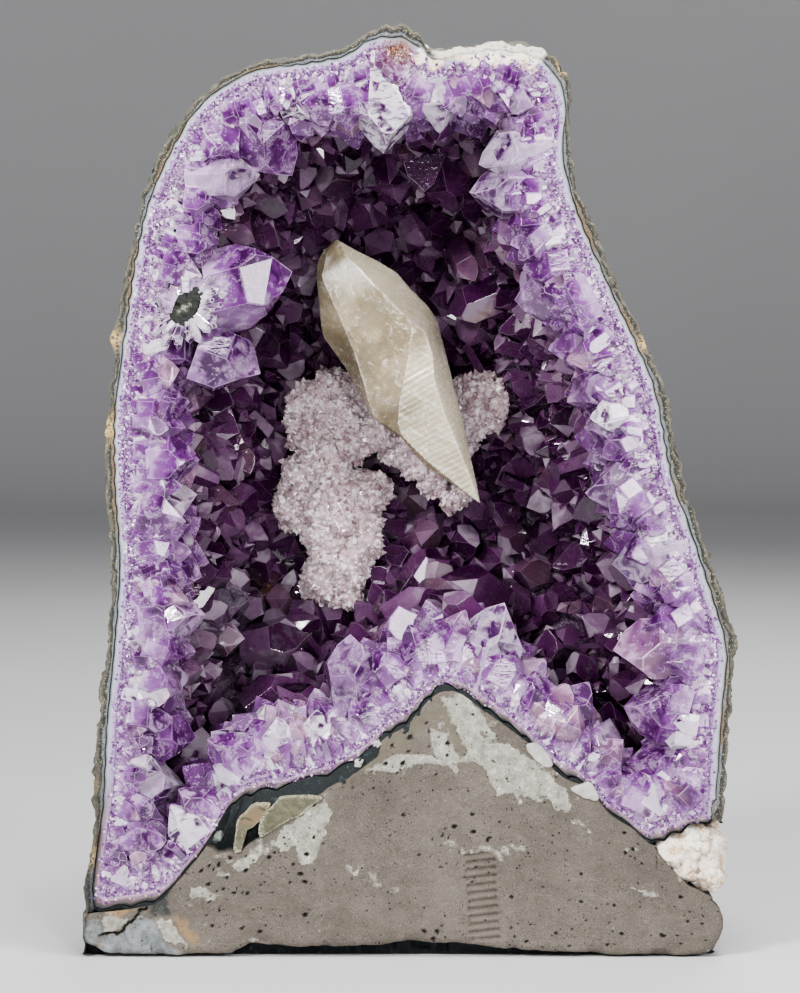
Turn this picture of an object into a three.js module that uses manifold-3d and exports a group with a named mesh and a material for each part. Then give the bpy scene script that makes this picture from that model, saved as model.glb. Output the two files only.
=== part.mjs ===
// Amethyst cathedral geode with a calcite crystal: half of a large geode, sawn open at the front and
// cut flat below, so that it stands on its basalt like a small chapel. Millimetres, +Z up. The open
// side faces -Y, and the origin is the middle of the flat base.
//
// From outside in: the basalt, which is a thin rind at the sides and a broad foot below, a thin agate
// lining, and the crust of amethyst points. The lining follows the basalt hill that rises at the foot
// of the opening. A patch of sugary white quartz grew on the back wall and carries the calcite
// crystal. Every layer is a bowl around one axis, so the layers nest.
import * as THREE from "three";
import { ConvexGeometry } from "three/addons/geometries/ConvexGeometry.js";
import { mergeVertices } from "three/addons/utils/BufferGeometryUtils.js";
import Module from "manifold-3d";

const wasm = await Module();
wasm.setup();

// ---- driving dimensions ----
const DEPTH = 178; // front cut to the back of the rind
const FRONT = -DEPTH / 2;
const RIND = 3.6; // rind at the rim
const BACK_ROCK = 24; // rind at the middle of the back
const AGATE = 3.6;
const GAP = 0.35; // clearance between neighbouring solids
const GEODE_DEPTH = DEPTH - BACK_ROCK;
const CENTRE = new THREE.Vector2(-12, 230); // the bowls' axis, in x and z
const BOWL_POWER = 2.5; // superellipse power of a bowl's section
const STONE_FACE = FRONT + 1.2; // the foremost crystals stand a little in front of the sawn stone
const QUARTZ_FACE = FRONT + 2.4; // the crust's sawn edge lies a little behind it

// Outer edge of the front face, in x and z, from the left foot over the top to the right foot.
const OUTLINE = [
  [-139, -46], [-141.5, 5], [-141.5, 24], [-137, 61], [-135, 96], [-131, 138], [-129, 173],
  [-131, 207], [-131, 233], [-127.5, 263], [-121, 306], [-114, 332], [-100.5, 360], [-87.5, 375.5],
  [-68, 386.5], [-46, 390], [-27.5, 394], [-17, 400.5], [-4, 402], [4.5, 398], [11, 392.5],
  [26, 394.5], [39, 396], [56, 392.5], [66, 385], [70.5, 373], [69.5, 355], [73.5, 332],
  [82, 310], [93, 285], [101.5, 267.5], [110, 246], [118, 207], [126, 185], [137.5, 149],
  [141.5, 129], [139, 104], [136.5, 57], [135.5, 27], [133.5, 0], [127, -50],
];
// The loop closes far below the base cut, so that the sides stay steep there.
const OUTLINE_BELOW = [[90, -112], [0, -135], [-95, -112]];

// The basalt's hill under the crust, from left to right.
const HILL = [
  [-160, 16], [-141, 19], [-111.5, 23], [-100.5, 33], [-88, 48], [-76, 66], [-51, 74], [-34, 79],
  [-19, 87], [-10, 96], [-1.5, 101], [9, 112.5], [15.5, 116], [22, 115], [30.5, 109], [52, 93],
  [66, 79], [78, 73.5], [86.5, 63], [97, 56], [106, 49], [117, 53.5], [132, 58.5], [160, 66],
];

// ---- small helpers ----
const fraction = (x) => x - Math.floor(x);
const chance = (n, k) => fraction(Math.sin(n * 12.9898 + k * 78.233) * 43758.5453);
const between = (low, high, share) => low + (high - low) * share;

function solidOf(geometry) {
  const bare = geometry.index ? geometry.toNonIndexed() : geometry.clone();
  bare.deleteAttribute("normal");
  bare.deleteAttribute("uv");
  const merged = mergeVertices(bare, 1e-4);
  return new wasm.Manifold(new wasm.Mesh({
    numProp: 3,
    vertProperties: new Float32Array(merged.attributes.position.array),
    triVerts: new Uint32Array(merged.index.array),
  }));
}

function geometryOf(solid) {
  const mesh = solid.getMesh();
  const geometry = new THREE.BufferGeometry();
  geometry.setAttribute("position", new THREE.BufferAttribute(mesh.vertProperties, 3));
  geometry.setIndex(new THREE.BufferAttribute(mesh.triVerts, 1));
  return geometry.toNonIndexed();
}

const hullOf = (corners) => solidOf(new ConvexGeometry(corners));
const unionOf = (solids) => wasm.Manifold.union(solids);
const cutInFront = (solid, y) => solid.trimByPlane([0, 1, 0], y);
const largestOf = (solid) => solid.decompose().reduce((a, b) => (a.volume() > b.volume() ? a : b));

// A block whose outline in x and z runs from one depth to another.
function prism(outline, nearY, farY) {
  const shape = new THREE.Shape(outline.map(([x, z]) => new THREE.Vector2(x, z)));
  const block = new THREE.ExtrudeGeometry(shape, { depth: farY - nearY, bevelEnabled: false });
  block.rotateX(Math.PI / 2); // the shape's y becomes z, and its depth runs along -y
  block.translate(0, farY, 0);
  return solidOf(block);
}

// ---- outlines as a radius by angle around the axis ----
function splineThrough(points, closed) {
  const curve = new THREE.CatmullRomCurve3(
    points.map(([x, z]) => new THREE.Vector3(x, z, 0)), closed, "catmullrom", 0.5);
  return curve.getPoints(points.length * 12).map((p) => new THREE.Vector2(p.x, p.y));
}

// Distance from the axis to a line of points, along the direction of an angle.
function reach(line, angle) {
  const dx = Math.cos(angle);
  const dz = Math.sin(angle);
  let nearest = Infinity;
  for (let i = 1; i < line.length; i++) {
    const a = line[i - 1];
    const b = line[i];
    const sideA = (a.x - CENTRE.x) * dz - (a.y - CENTRE.y) * dx;
    const sideB = (b.x - CENTRE.x) * dz - (b.y - CENTRE.y) * dx;
    if (sideA * sideB > 0 || sideA === sideB) continue;
    const share = sideA / (sideA - sideB);
    const x = between(a.x, b.x, share) - CENTRE.x;
    const z = between(a.y, b.y, share) - CENTRE.y;
    const distance = x * dx + z * dz;
    if (distance > 0) nearest = Math.min(nearest, distance);
  }
  return nearest;
}

// A loop holds a radius by angle, the same with its corners worn down, and how far an inset must go
// along the ray there, which is more where the ray meets the loop at a slant.
const STEPS = 720;
const MOST_STRETCH = 2.4;
const STRETCH_WINDOW = 10;
const WORN_WINDOW = 22;

class Loop {
  constructor(radiusAt) {
    this.rim = Array.from({ length: STEPS }, (_, i) => radiusAt((i / STEPS) * 2 * Math.PI));
    this.worn = this.smoothed(this.smoothed(this.rim, WORN_WINDOW), WORN_WINDOW);
    const slant = this.rim.map((r, i) => {
      const slope = (this.at(this.rim, i + 1) - this.at(this.rim, i - 1)) * (STEPS / (4 * Math.PI));
      return Math.min(MOST_STRETCH, Math.hypot(1, slope / r));
    });
    this.stretch = this.smoothed(slant, STRETCH_WINDOW);
  }

  at(list, i) {
    return list[((i % STEPS) + STEPS) % STEPS];
  }

  smoothed(list, window) {
    return list.map((_, i) => {
      let sum = 0;
      for (let k = -window; k <= window; k++) sum += this.at(list, i + k);
      return sum / (2 * window + 1);
    });
  }

  read(list, angle) {
    const place = (angle / (2 * Math.PI)) * STEPS;
    const i = Math.floor(place);
    return between(this.at(list, i), this.at(list, i + 1), place - i);
  }

  radius(angle, inset = 0, wear = 0) {
    const full = between(this.read(this.rim, angle), this.read(this.worn, angle), wear);
    return full - inset * this.read(this.stretch, angle);
  }
}

const outerLine = splineThrough([...OUTLINE, ...OUTLINE_BELOW], true);
const hillLine = splineThrough(HILL, false);
const outerLoop = new Loop((angle) => reach(outerLine, angle));
const geodeLoop = new Loop((angle) =>
  Math.min(outerLoop.radius(angle, RIND), reach(hillLine, angle)));

// ---- bowls ----
// A point on a bowl: turn is the angle round the rim, and tilt runs from 0 at the front to a quarter
// turn at the back. The rim's corners wear down towards the back.
function bowlPoint(loop, inset, depth, turn, tilt) {
  const spread = Math.cos(tilt) ** (2 / BOWL_POWER);
  const sunk = Math.sin(tilt) ** (2 / BOWL_POWER);
  const r = loop.radius(turn, inset, sunk) * spread;
  return new THREE.Vector3(
    CENTRE.x + r * Math.cos(turn), FRONT + depth * sunk, CENTRE.y + r * Math.sin(turn));
}

// The angles at which the bowls have edges: the corners of the outlines, where they aren't crowded.
const NARROWEST_TURN = 0.06;
const TILTS = [0, 0.3, 0.62, 0.96, 1.3];
const AHEAD = 12; // a bowl's block starts this far in front of the face, to be cut there
const TURNS = [];
const cornerTurns = [...OUTLINE, ...OUTLINE_BELOW, ...HILL.slice(2, -1)]
  .map(([x, z]) => Math.atan2(z - CENTRE.y, x - CENTRE.x))
  .sort((a, b) => a - b);
for (const turn of cornerTurns) {
  if (TURNS.length === 0 || turn - TURNS.at(-1) > NARROWEST_TURN) TURNS.push(turn);
}

function bowl(loop, inset, depth, shape = (p) => p) {
  const rings = TILTS.map((tilt) =>
    TURNS.map((turn) => shape(bowlPoint(loop, inset, depth, turn, tilt), tilt)));
  const mouth = rings[0].map((p) => new THREE.Vector3(p.x, FRONT - AHEAD, p.z));
  const rows = [mouth, ...rings];
  const pole = new THREE.Vector3(CENTRE.x, FRONT + depth, CENTRE.y);
  const cap = new THREE.Vector3(CENTRE.x, FRONT - AHEAD, CENTRE.y);
  const corners = [];
  for (let k = 0; k < TURNS.length; k++) {
    const next = (k + 1) % TURNS.length;
    corners.push(cap, mouth[k], mouth[next]);
    for (let row = 1; row < rows.length; row++) {
      corners.push(rows[row - 1][k], rows[row][k], rows[row][next]);
      corners.push(rows[row - 1][k], rows[row][next], rows[row - 1][next]);
    }
    corners.push(pole, rows.at(-1)[next], rows.at(-1)[k]);
  }
  return solidOf(new THREE.BufferGeometry().setFromPoints(corners));
}

const layer = (inset) => bowl(geodeLoop, inset, GEODE_DEPTH - inset);

// ---- the basalt: rind and foot ----
// Low knobs on the outside, which fade out at the rim and at the middle of the back.
const KNOBS = 0.06;
const swelling = ({ x, y, z }) =>
  0.5 +
  0.25 * Math.sin(x / 17 + 1.3) * Math.sin(y / 13 + 0.7) * Math.sin(z / 19) +
  0.25 * Math.sin(x / 31 + 2) * Math.sin(z / 23 + y / 29 + 1);

function knobbly(p, tilt) {
  const shrink = 1 - KNOBS * swelling(p) * Math.sin(2 * tilt);
  const anchor = new THREE.Vector3(CENTRE.x, FRONT, CENTRE.y);
  return p.clone().sub(anchor).multiplyScalar(shrink).add(anchor);
}

// A corner is broken out at the right foot, where the cream calcite sits.
const CORNER_BREAK = [
  [107, 47], [113, 39], [121, 31], [131, 26], [160, 24], [160, 70], [131, 57.6], [117, 52.8],
];
const CORNER_DEPTH = 36;
const cornerRoom = prism(CORNER_BREAK, FRONT - AHEAD, FRONT + CORNER_DEPTH);

// The open seam under the left side of the crust.
const SEAM = [
  [-88, 50], [-80, 40], [-68, 47], [-60, 54], [-44, 62], [-28, 74], [-16, 83], [-12, 95],
  [-19, 90], [-34, 82], [-51, 77], [-76, 69],
];
const SEAM_DEPTH = 9;

// The saw left a comb of ridges on the face.
const COMB = { left: 26, right: 39, foot: 8, pitch: 3.3, teeth: 11, deep: 0.9, half: 1.2 };
function combGroove(i) {
  const z = COMB.foot + i * COMB.pitch;
  return hullOf([COMB.left, COMB.right].flatMap((x) => [
    new THREE.Vector3(x, STONE_FACE - 1, z - COMB.half),
    new THREE.Vector3(x, STONE_FACE - 1, z + COMB.half),
    new THREE.Vector3(x, STONE_FACE + COMB.deep, z),
  ]));
}

// The front edge of the base is chipped away underneath: height of the chip by x.
const CHIP = [[-72, 0], [-40, 2.6], [10, 3.4], [50, 2.2], [80, 0]];
const CHIP_DEPTH = 9;
const chip = hullOf(CHIP.flatMap(([x, z]) => [
  new THREE.Vector3(x, FRONT - 5, z),
  new THREE.Vector3(x, FRONT - 5, -5),
  new THREE.Vector3(x, FRONT + CHIP_DEPTH, 0),
]));

const combCuts = unionOf(Array.from({ length: COMB.teeth }, (_, i) => combGroove(i)));
const rock = cutInFront(bowl(outerLoop, 0, DEPTH, knobbly), STONE_FACE)
  .trimByPlane([0, 0, 1], 0)
  .subtract(layer(0))
  .subtract(cornerRoom)
  .subtract(prism(SEAM, FRONT - AHEAD, FRONT + SEAM_DEPTH))
  .subtract(combCuts)
  .subtract(chip);

// Two slabs of green stone lie in the seam.
const SLABS = {
  olive_slab_long: [
    [-64.5, 52.5], [-56, 57.5], [-47.5, 61.5], [-43, 65.5], [-37.8, 70.2], [-53.8, 70.4],
    [-58.5, 67], [-64, 60.5],
  ],
  olive_slab_short: [
    [-76, 46.5], [-72.5, 46.6], [-72.3, 54.5], [-67, 57], [-61.2, 64.2], [-60.2, 67.4],
    [-66.5, 67.2], [-71.5, 63], [-74.3, 59],
  ],
};
const slab = (outline) =>
  prism(outline, STONE_FACE + 0.8, FRONT + SEAM_DEPTH - GAP).subtract(layer(-GAP));

// ---- amethyst points along the rim ----
// One point: a six-sided shaft that widens to its shoulder, and a lopsided pyramid on it.
const PYRAMID = 1.12; // height of the pyramid, by the radius
const FOOT_WIDTH = 0.74; // width of the foot, by the width at the shoulder
const MAJOR = { wide: 1.05, drop: -0.1 }; // every other edge is broader and starts higher
const MINOR = { wide: 0.93, drop: 0.16 };

function crystalSolid({ foot, axis, roll, radius, length, lean }) {
  const frame = new THREE.Quaternion().setFromUnitVectors(new THREE.Vector3(0, 0, 1), axis);
  const at = (x, y, z) => new THREE.Vector3(x, y, z).applyQuaternion(frame).add(foot);
  const corners = [at(lean[0] * radius, lean[1] * radius, length)];
  for (let k = 0; k < 6; k++) {
    const angle = roll + (k * Math.PI) / 3;
    const { wide, drop } = k % 2 ? MINOR : MAJOR;
    const x = radius * wide * Math.cos(angle);
    const y = radius * wide * Math.sin(angle);
    corners.push(at(x, y, length - radius * (PYRAMID - drop)));
    corners.push(at(FOOT_WIDTH * x, FOOT_WIDTH * y, 0));
  }
  return hullOf(corners);
}

// The largest points: foot and tip in x and z, radius, and how far the axis lies behind the face.
const SHOWPIECES = [
  [[-104, 288], [-50, 297], 16, 16], [[-100, 262], [-64, 250], 13, 14], [[-108, 336], [-64, 338], 11.5, 13],
  [[-80, 372], [-50, 338], 16, 16], [[-54, 384], [-42, 355], 10.5, 11], [[-30, 386], [-24, 354], 10, 13],
  [[-9, 392], [-9, 345], 12.5, 13], [[11, 386], [13, 356], 9, 12], [[35, 388], [40, 357], 13.5, 14],
  [[66, 353], [26, 341], 14, 15], [[86, 290], [46, 284], 13, 15], [[100, 266], [60, 263], 11.5, 14],
  [[130, 134], [88, 133], 14, 14], [[132, 102], [93, 108], 12.5, 13], [[28, 108], [41, 153], 14, 15],
  [[6, 104], [-4, 151], 11, 22], [[-20, 88], [-26, 139], 12, 17], [[128, 76], [94, 84], 11.5, 14],
];
// The others stand side by side along the rim wherever there is room.
const ROW = {
  step: 20, // spacing, measured this far in from the rim:
  stepInset: 25,
  foot: 8, // inset of the feet, inside the massive quartz they grew from
  radius: [9, 12.5],
  length: [26, 33],
  behind: [1, 6], // from the face to a point's side
  splay: 0.35,
  room: 0.75, // closest spacing, by the sum of two radii
};
const WALK = 0.01; // angle between two looks at the rim

function pointFrom(foot, tip, radius, key) {
  const axis = tip.clone().sub(foot);
  return {
    foot,
    length: axis.length(),
    axis: axis.normalize(),
    radius,
    roll: 6 * chance(key, 1),
    lean: [between(-0.2, 0.2, chance(key, 5)), between(-0.2, 0.2, chance(key, 6))],
  };
}

const atRim = (turn, inset) => bowlPoint(geodeLoop, inset, 0, turn, 0);
const partWay = ({ foot, axis, length }) => foot.clone().addScaledVector(axis, 0.6 * length);

function showpiece([foot, tip, radius, behind], i) {
  const start = new THREE.Vector3(foot[0], FRONT + behind, foot[1]);
  const end = new THREE.Vector3(tip[0], FRONT + behind + between(-3, 5, chance(i, 3)), tip[1]);
  return pointFrom(start, end, radius, i);
}

function rowPoint(turn, key) {
  const radius = between(...ROW.radius, chance(key, 2));
  const foot = atRim(turn, ROW.foot);
  const along = atRim(turn + 0.08, ROW.foot).sub(atRim(turn - 0.08, ROW.foot)).normalize();
  const inward = new THREE.Vector3(-along.z, 0, along.x);
  inward.addScaledVector(along, between(-ROW.splay, ROW.splay, chance(key, 4))).normalize();
  foot.y += radius + between(...ROW.behind, chance(key, 7));
  const tip = foot.clone().addScaledVector(inward, between(...ROW.length, chance(key, 8)));
  tip.y += between(-2, 7, chance(key, 9));
  return pointFrom(foot, tip, radius, key);
}

function rimPoints() {
  const kept = SHOWPIECES.map(showpiece);
  let walked = 0;
  for (let i = 0; i * WALK < 2 * Math.PI; i++) {
    const turn = i * WALK;
    walked += atRim(turn, ROW.stepInset).distanceTo(atRim(turn - WALK, ROW.stepInset));
    if (walked < ROW.step) continue;
    walked = 0;
    const one = rowPoint(turn, 100 + i);
    const apart = (other) => partWay(other).distanceTo(partWay(one)) / (other.radius + one.radius);
    if (kept.every((other) => apart(other) > ROW.room)) kept.push(one);
  }
  return kept;
}

// ---- the wall of points behind them ----
// Pyramids stand side by side over the whole inner wall. Their tips are thrown at random over a bowl
// and kept where they have room. Seen from the heart of the hollow, the tips' directions have a
// convex hull, whose triangles tell which tips are neighbours: each triangle's middle is a valley,
// and each pyramid runs from its tip down to the valleys around it.
const TIP_INSET = 33;
const TIP_DEPTH = GEODE_DEPTH - 40;
const HEART = new THREE.Vector3(15, FRONT + 50, 205);
const THROWS = 6000;
const ROOM = [16, 25]; // nearest neighbour of the smallest and the largest pyramid
const STEEPNESS = 0.62; // a valley's depth below the tips, by their distance apart
const DEEPEST = 16;
const MOUTH_INSET = -1; // the wall opens out to here in front of the face, where the saw took it

function tips() {
  const kept = [];
  for (let i = 0; i < THROWS; i++) {
    const room = between(...ROOM, chance(i, 13) ** 1.6);
    const tilt = between(0.1, 1.55, chance(i, 12) ** 0.8);
    const tip = bowlPoint(geodeLoop, TIP_INSET, TIP_DEPTH, 2 * Math.PI * chance(i, 11), tilt);
    tip.lerp(HEART, 0.05 * (chance(i, 14) - 0.5));
    if (kept.every((other) => other.distanceTo(tip) > room)) kept.push(tip);
  }
  return kept;
}

function mouthRing() {
  const ring = TURNS.map((turn) => atRim(turn, MOUTH_INSET).add(new THREE.Vector3(0, -4, 0)));
  return [...ring, new THREE.Vector3(CENTRE.x, FRONT - 60, CENTRE.y)];
}

function valleyBetween(trio) {
  const [a, b, c] = trio;
  const apart = (a.distanceTo(b) + b.distanceTo(c) + c.distanceTo(a)) / 3;
  const middle = new THREE.Vector3().add(a).add(b).add(c).divideScalar(3);
  const outward = middle.clone().sub(HEART).normalize();
  return middle.addScaledVector(outward, Math.min(DEEPEST, STEEPNESS * apart));
}

function hollowSolid() {
  const peaks = [...tips(), ...mouthRing()];
  const aims = peaks.map((p) => p.clone().sub(HEART).normalize());
  const keyOf = (v) => [v.x, v.y, v.z].map(Math.fround).join();
  const indexOf = new Map(aims.map((aim, i) => [keyOf(aim), i]));
  const hull = new ConvexGeometry(aims).attributes.position;
  const valleyBeside = new Map(); // by the directed edge between two tips
  const edges = [];
  for (let i = 0; i < hull.count; i += 3) {
    const trio = [0, 1, 2].map((k) =>
      indexOf.get(keyOf(new THREE.Vector3().fromBufferAttribute(hull, i + k))));
    const valley = valleyBetween(trio.map((k) => peaks[k]));
    trio.forEach((from, k) => {
      const to = trio[(k + 1) % 3];
      valleyBeside.set(`${from}>${to}`, valley);
      if (from < to) edges.push([from, to]);
    });
  }
  const corners = edges.flatMap(([a, b]) => {
    const left = valleyBeside.get(`${a}>${b}`);
    const right = valleyBeside.get(`${b}>${a}`);
    return [peaks[a], right, left, peaks[b], left, right];
  });
  return solidOf(new THREE.BufferGeometry().setFromPoints(corners));
}

// ---- the calcite crystal ----
// Two crystals grown together on one leaning axis. Each corner is a distance along the axis from the
// middle, a distance to the right of it, and a distance out towards the front.
const CALCITE_MIDDLE = new THREE.Vector3(-4, FRONT + 62, 252);
const CALCITE_AXIS = new THREE.Vector3(-0.496, 0.06, 0.868).normalize();
const CALCITE_SIDE = new THREE.Vector3(0.868, 0, 0.496);
const CALCITE_UPPER = [
  [65, 2.8, -1], [60, -6.2, 0], [46, -14.7, 0], [34, -20, -2], [18, -19, -4], [-6, -17, 0],
  [54, 3.9, 6.5], [18, 8, 20], [4, 8, 19], [48, -9.5, 5], [17, -15, 9.5], [0, 24, 0],
  [18, 26, -2], [29, 24, -2], [40, 20.4, -2], [50.5, 14, -1], [40, 2, -10], [10, 4, -19], [-12, 2, -16],
];
const CALCITE_LOWER = [
  [12, -19.5, -1], [3, -22, 0], [-12, -20.4, 0], [-25, -14.5, -1], [-42, -11.7, -1], [-52, -6.2, 0],
  [-64, 2.7, 0], [-48, 9, -1], [-28, 15, -2], [-8, 20, -2], [11, 25, -1], [0, -19, 6], [-19, -13, 8],
  [7, 8, 19], [8, 17, 14], [-18, 10, 13], [-57, 2, 3], [0, 0, -18], [-30, 2, -13],
];
const CALCITE_CLEARANCE = 1.035; // swell of the room that the quartz leaves for it

function calciteHull(corners, swell) {
  const placed = corners.map(([along, right, out]) => CALCITE_MIDDLE.clone()
    .addScaledVector(CALCITE_AXIS, along)
    .addScaledVector(CALCITE_SIDE, right)
    .add(new THREE.Vector3(0, -out, 0)));
  const heart = placed.reduce((sum, p) => sum.add(p), new THREE.Vector3()).divideScalar(placed.length);
  return hullOf(placed.map((p) => p.lerp(heart, 1 - swell)));
}

const calciteSolid = (swell) =>
  calciteHull(CALCITE_UPPER, swell).add(calciteHull(CALCITE_LOWER, swell));

// ---- lumps ----
// Each lump is a ball: x, distance behind the front face, z, radius, and its stretch in depth.
const QUARTZ_LUMPS = [
  [-37, 112, 238, 23, 1.5], [-27, 100, 222, 19, 1.2], [-39, 102, 203, 20, 1.2], [-32, 98, 186, 19, 1.1],
  [-44, 104, 190, 16, 1.2], [-28, 99, 165, 18, 1.2], [0, 106, 215, 16, 1.3], [15, 108, 203, 9, 1.6],
  [28, 112, 238, 17, 1.4], [-2, 106, 240, 22, 1.2],
];
const CORNER_LUMPS = [
  [115, 8, 46, 8.5, 1], [124, 10, 49, 9.5, 1], [120, 12, 38.5, 9, 1], [129.5, 13, 42, 9.5, 1],
  [127.5, 12, 32.5, 8.5, 1], [130, 27, 40, 10, 1],
];
const EYE_LUMPS = [[-98, 3, 279.5, 5.8, 1], [-92.5, 3, 285, 4.8, 1], [-96.5, 3.4, 285.5, 4.2, 1]];

function lumps(list, detail, grow = 0) {
  return unionOf(list.map(([x, behind, z, radius, stretch], i) => {
    const ball = new THREE.IcosahedronGeometry(radius + grow, detail);
    ball.rotateX(i * 0.7);
    ball.rotateY(i * 1.9);
    ball.scale(1, stretch, 1);
    ball.translate(x, FRONT + behind, z);
    return solidOf(ball);
  }));
}

// ---- the layers put together ----
const agate = cutInFront(layer(GAP).subtract(layer(AGATE + GAP)), STONE_FACE + 0.3);
const crustRoom = layer(AGATE + 2 * GAP);
const calcite = calciteSolid(1);
const calciteRoom = calciteSolid(CALCITE_CLEARANCE);
const rimRow = cutInFront(unionOf(rimPoints().map(crystalSolid)), FRONT).intersect(crustRoom);
const crust = cutInFront(crustRoom.subtract(hollowSolid()), QUARTZ_FACE)
  .add(rimRow)
  .subtract(lumps(QUARTZ_LUMPS, 1, GAP))
  .subtract(lumps(EYE_LUMPS, 0, GAP))
  .subtract(calciteRoom);
const quartz = lumps(QUARTZ_LUMPS, 1).intersect(layer(AGATE + 5 * GAP)).subtract(calciteRoom);
const corner = cutInFront(lumps(CORNER_LUMPS, 0), STONE_FACE)
  .intersect(cornerRoom.translate(0, -GAP, 0).subtract(layer(-GAP)))
  .intersect(bowl(outerLoop, 0, DEPTH));
const eye = cutInFront(lumps(EYE_LUMPS, 0), STONE_FACE);

// ---- assembly ----
const FINISH = {
  basalt: { color: 0x8d867c, roughness: 0.92 },
  agate: { color: 0xb9b3cc, roughness: 0.35 },
  amethyst: { color: 0x7b4fa6, roughness: 0.12 },
  quartz: { color: 0xe4dde2, roughness: 0.4 },
  calcite: { color: 0xd8cfb6, roughness: 0.22 },
  cream: { color: 0xe9dcc8, roughness: 0.7 },
  olive: { color: 0x7d7b5a, roughness: 0.85 },
  eye: { color: 0x2c3330, roughness: 0.6 },
};

const geode = new THREE.Group();
function addNode(name, solid, finish) {
  const material = new THREE.MeshStandardMaterial({ ...FINISH[finish], metalness: 0, flatShading: true });
  const mesh = new THREE.Mesh(geometryOf(largestOf(solid)), material);
  mesh.name = name;
  geode.add(mesh);
}

addNode("basalt_rock", rock, "basalt");
addNode("agate_lining", agate, "agate");
addNode("amethyst_crust", crust, "amethyst");
addNode("quartz_patch", quartz, "quartz");
addNode("calcite_crystal", calcite, "calcite");
addNode("corner_calcite", corner, "cream");
addNode("dark_eye", eye, "eye");
for (const [name, outline] of Object.entries(SLABS)) addNode(name, slab(outline), "olive");

export default geode;
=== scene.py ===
"""Amethyst cathedral geode with a calcite crystal: the looks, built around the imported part.

Shapes are worked out in millimetres, in the part's own frame (+Z up, the open side towards -Y),
and turned into metres when a mesh is made."""
import math

import bpy
import numpy as np
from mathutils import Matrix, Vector


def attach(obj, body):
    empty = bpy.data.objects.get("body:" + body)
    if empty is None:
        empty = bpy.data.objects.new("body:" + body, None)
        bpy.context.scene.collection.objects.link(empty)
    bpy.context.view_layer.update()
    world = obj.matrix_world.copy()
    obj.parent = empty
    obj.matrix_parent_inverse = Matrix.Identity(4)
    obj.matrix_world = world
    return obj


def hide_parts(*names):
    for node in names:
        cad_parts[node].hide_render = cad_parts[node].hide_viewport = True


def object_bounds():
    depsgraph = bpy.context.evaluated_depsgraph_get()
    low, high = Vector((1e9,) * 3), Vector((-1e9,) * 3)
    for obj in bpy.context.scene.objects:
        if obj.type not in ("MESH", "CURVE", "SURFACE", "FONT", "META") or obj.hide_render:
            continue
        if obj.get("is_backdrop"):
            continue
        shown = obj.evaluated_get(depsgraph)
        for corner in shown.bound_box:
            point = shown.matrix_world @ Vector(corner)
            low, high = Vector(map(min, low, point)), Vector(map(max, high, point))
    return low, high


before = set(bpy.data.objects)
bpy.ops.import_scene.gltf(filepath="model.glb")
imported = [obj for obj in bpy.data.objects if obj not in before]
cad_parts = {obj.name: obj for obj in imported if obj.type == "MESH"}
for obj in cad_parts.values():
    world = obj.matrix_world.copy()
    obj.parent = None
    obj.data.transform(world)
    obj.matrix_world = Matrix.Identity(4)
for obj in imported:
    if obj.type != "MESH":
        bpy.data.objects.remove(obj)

MM = 0.001
TURN = 2 * math.pi
low, high = (np.array(corner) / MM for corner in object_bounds())

# ---- sizes that the solids share ----
FRONT = low[1]  # the sawn face's foremost place
DEPTH = 178.0  # of the whole stone, front to back
RIND = 3.6  # the basalt round the geode
AGATE = 3.6
GAP = 0.35  # between one solid and the next
GEODE_DEPTH = DEPTH - 24.0
CENTRE = np.array([-12.0, 230.0])  # the bowls' axis: x and z
BOWL_POWER = 2.5
STONE_FACE = FRONT + 1.2  # where the stone is sawn
QUARTZ_FACE = FRONT + 2.4  # where the crust is sawn
TIP_INSET = 33.0  # how far the wall's tips stand in from the geode's outside

OUTLINE = [  # of the whole stone, from the left foot round, as (x, z)
    (-139, -46), (-141.5, 5), (-141.5, 24), (-137, 61), (-135, 96), (-131, 138), (-129, 173),
    (-131, 207), (-131, 233), (-127.5, 263), (-121, 306), (-114, 332), (-100.5, 360), (-87.5, 375.5),
    (-68, 386.5), (-46, 390), (-27.5, 394), (-17, 400.5), (-4, 402), (4.5, 398), (11, 392.5),
    (26, 394.5), (39, 396), (56, 392.5), (66, 385), (70.5, 373), (69.5, 355), (73.5, 332),
    (82, 310), (93, 285), (101.5, 267.5), (110, 246), (118, 207), (126, 185), (137.5, 149),
    (141.5, 129), (139, 104), (136.5, 57), (135.5, 27), (133.5, 0), (127, -50),
    (90, -112), (0, -135), (-95, -112),
]
HILL = [  # the foot's upper edge, as (x, z)
    (-160, 16), (-141, 19), (-111.5, 23), (-100.5, 33), (-88, 48), (-76, 66), (-51, 74), (-34, 79),
    (-19, 87), (-10, 96), (-1.5, 101), (9, 112.5), (15.5, 116), (22, 115), (30.5, 109), (52, 93),
    (66, 79), (78, 73.5), (86.5, 63), (97, 56), (106, 49), (117, 53.5), (132, 58.5), (160, 66),
]


# ---- curves, loops and bowls ----
def spline(points, closed, steps=12):
    """Catmull-Rom curve. On the span from b to c it is the cubic that leaves b along half of c - a
    and reaches c along half of d - b."""
    p = np.array(points, float)
    if closed:
        a, b, c, d = (np.roll(p, shift, axis=0) for shift in (1, 0, -1, -2))
    else:
        longer = np.vstack([2 * p[0] - p[1], p, 2 * p[-1] - p[-2]])
        a, b, c, d = longer[:-3], longer[1:-2], longer[2:-1], longer[3:]
    t = (np.arange(steps) / steps)[None, :, None]
    u, v = (c - a)[:, None] / 2, (d - b)[:, None] / 2
    b, c = b[:, None], c[:, None]
    curve = b + u * t + (3 * (c - b) - 2 * u - v) * t**2 + (2 * (b - c) + u + v) * t**3
    return np.vstack([curve.reshape(-1, 2), p[:1] if closed else p[-1:]])


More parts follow.
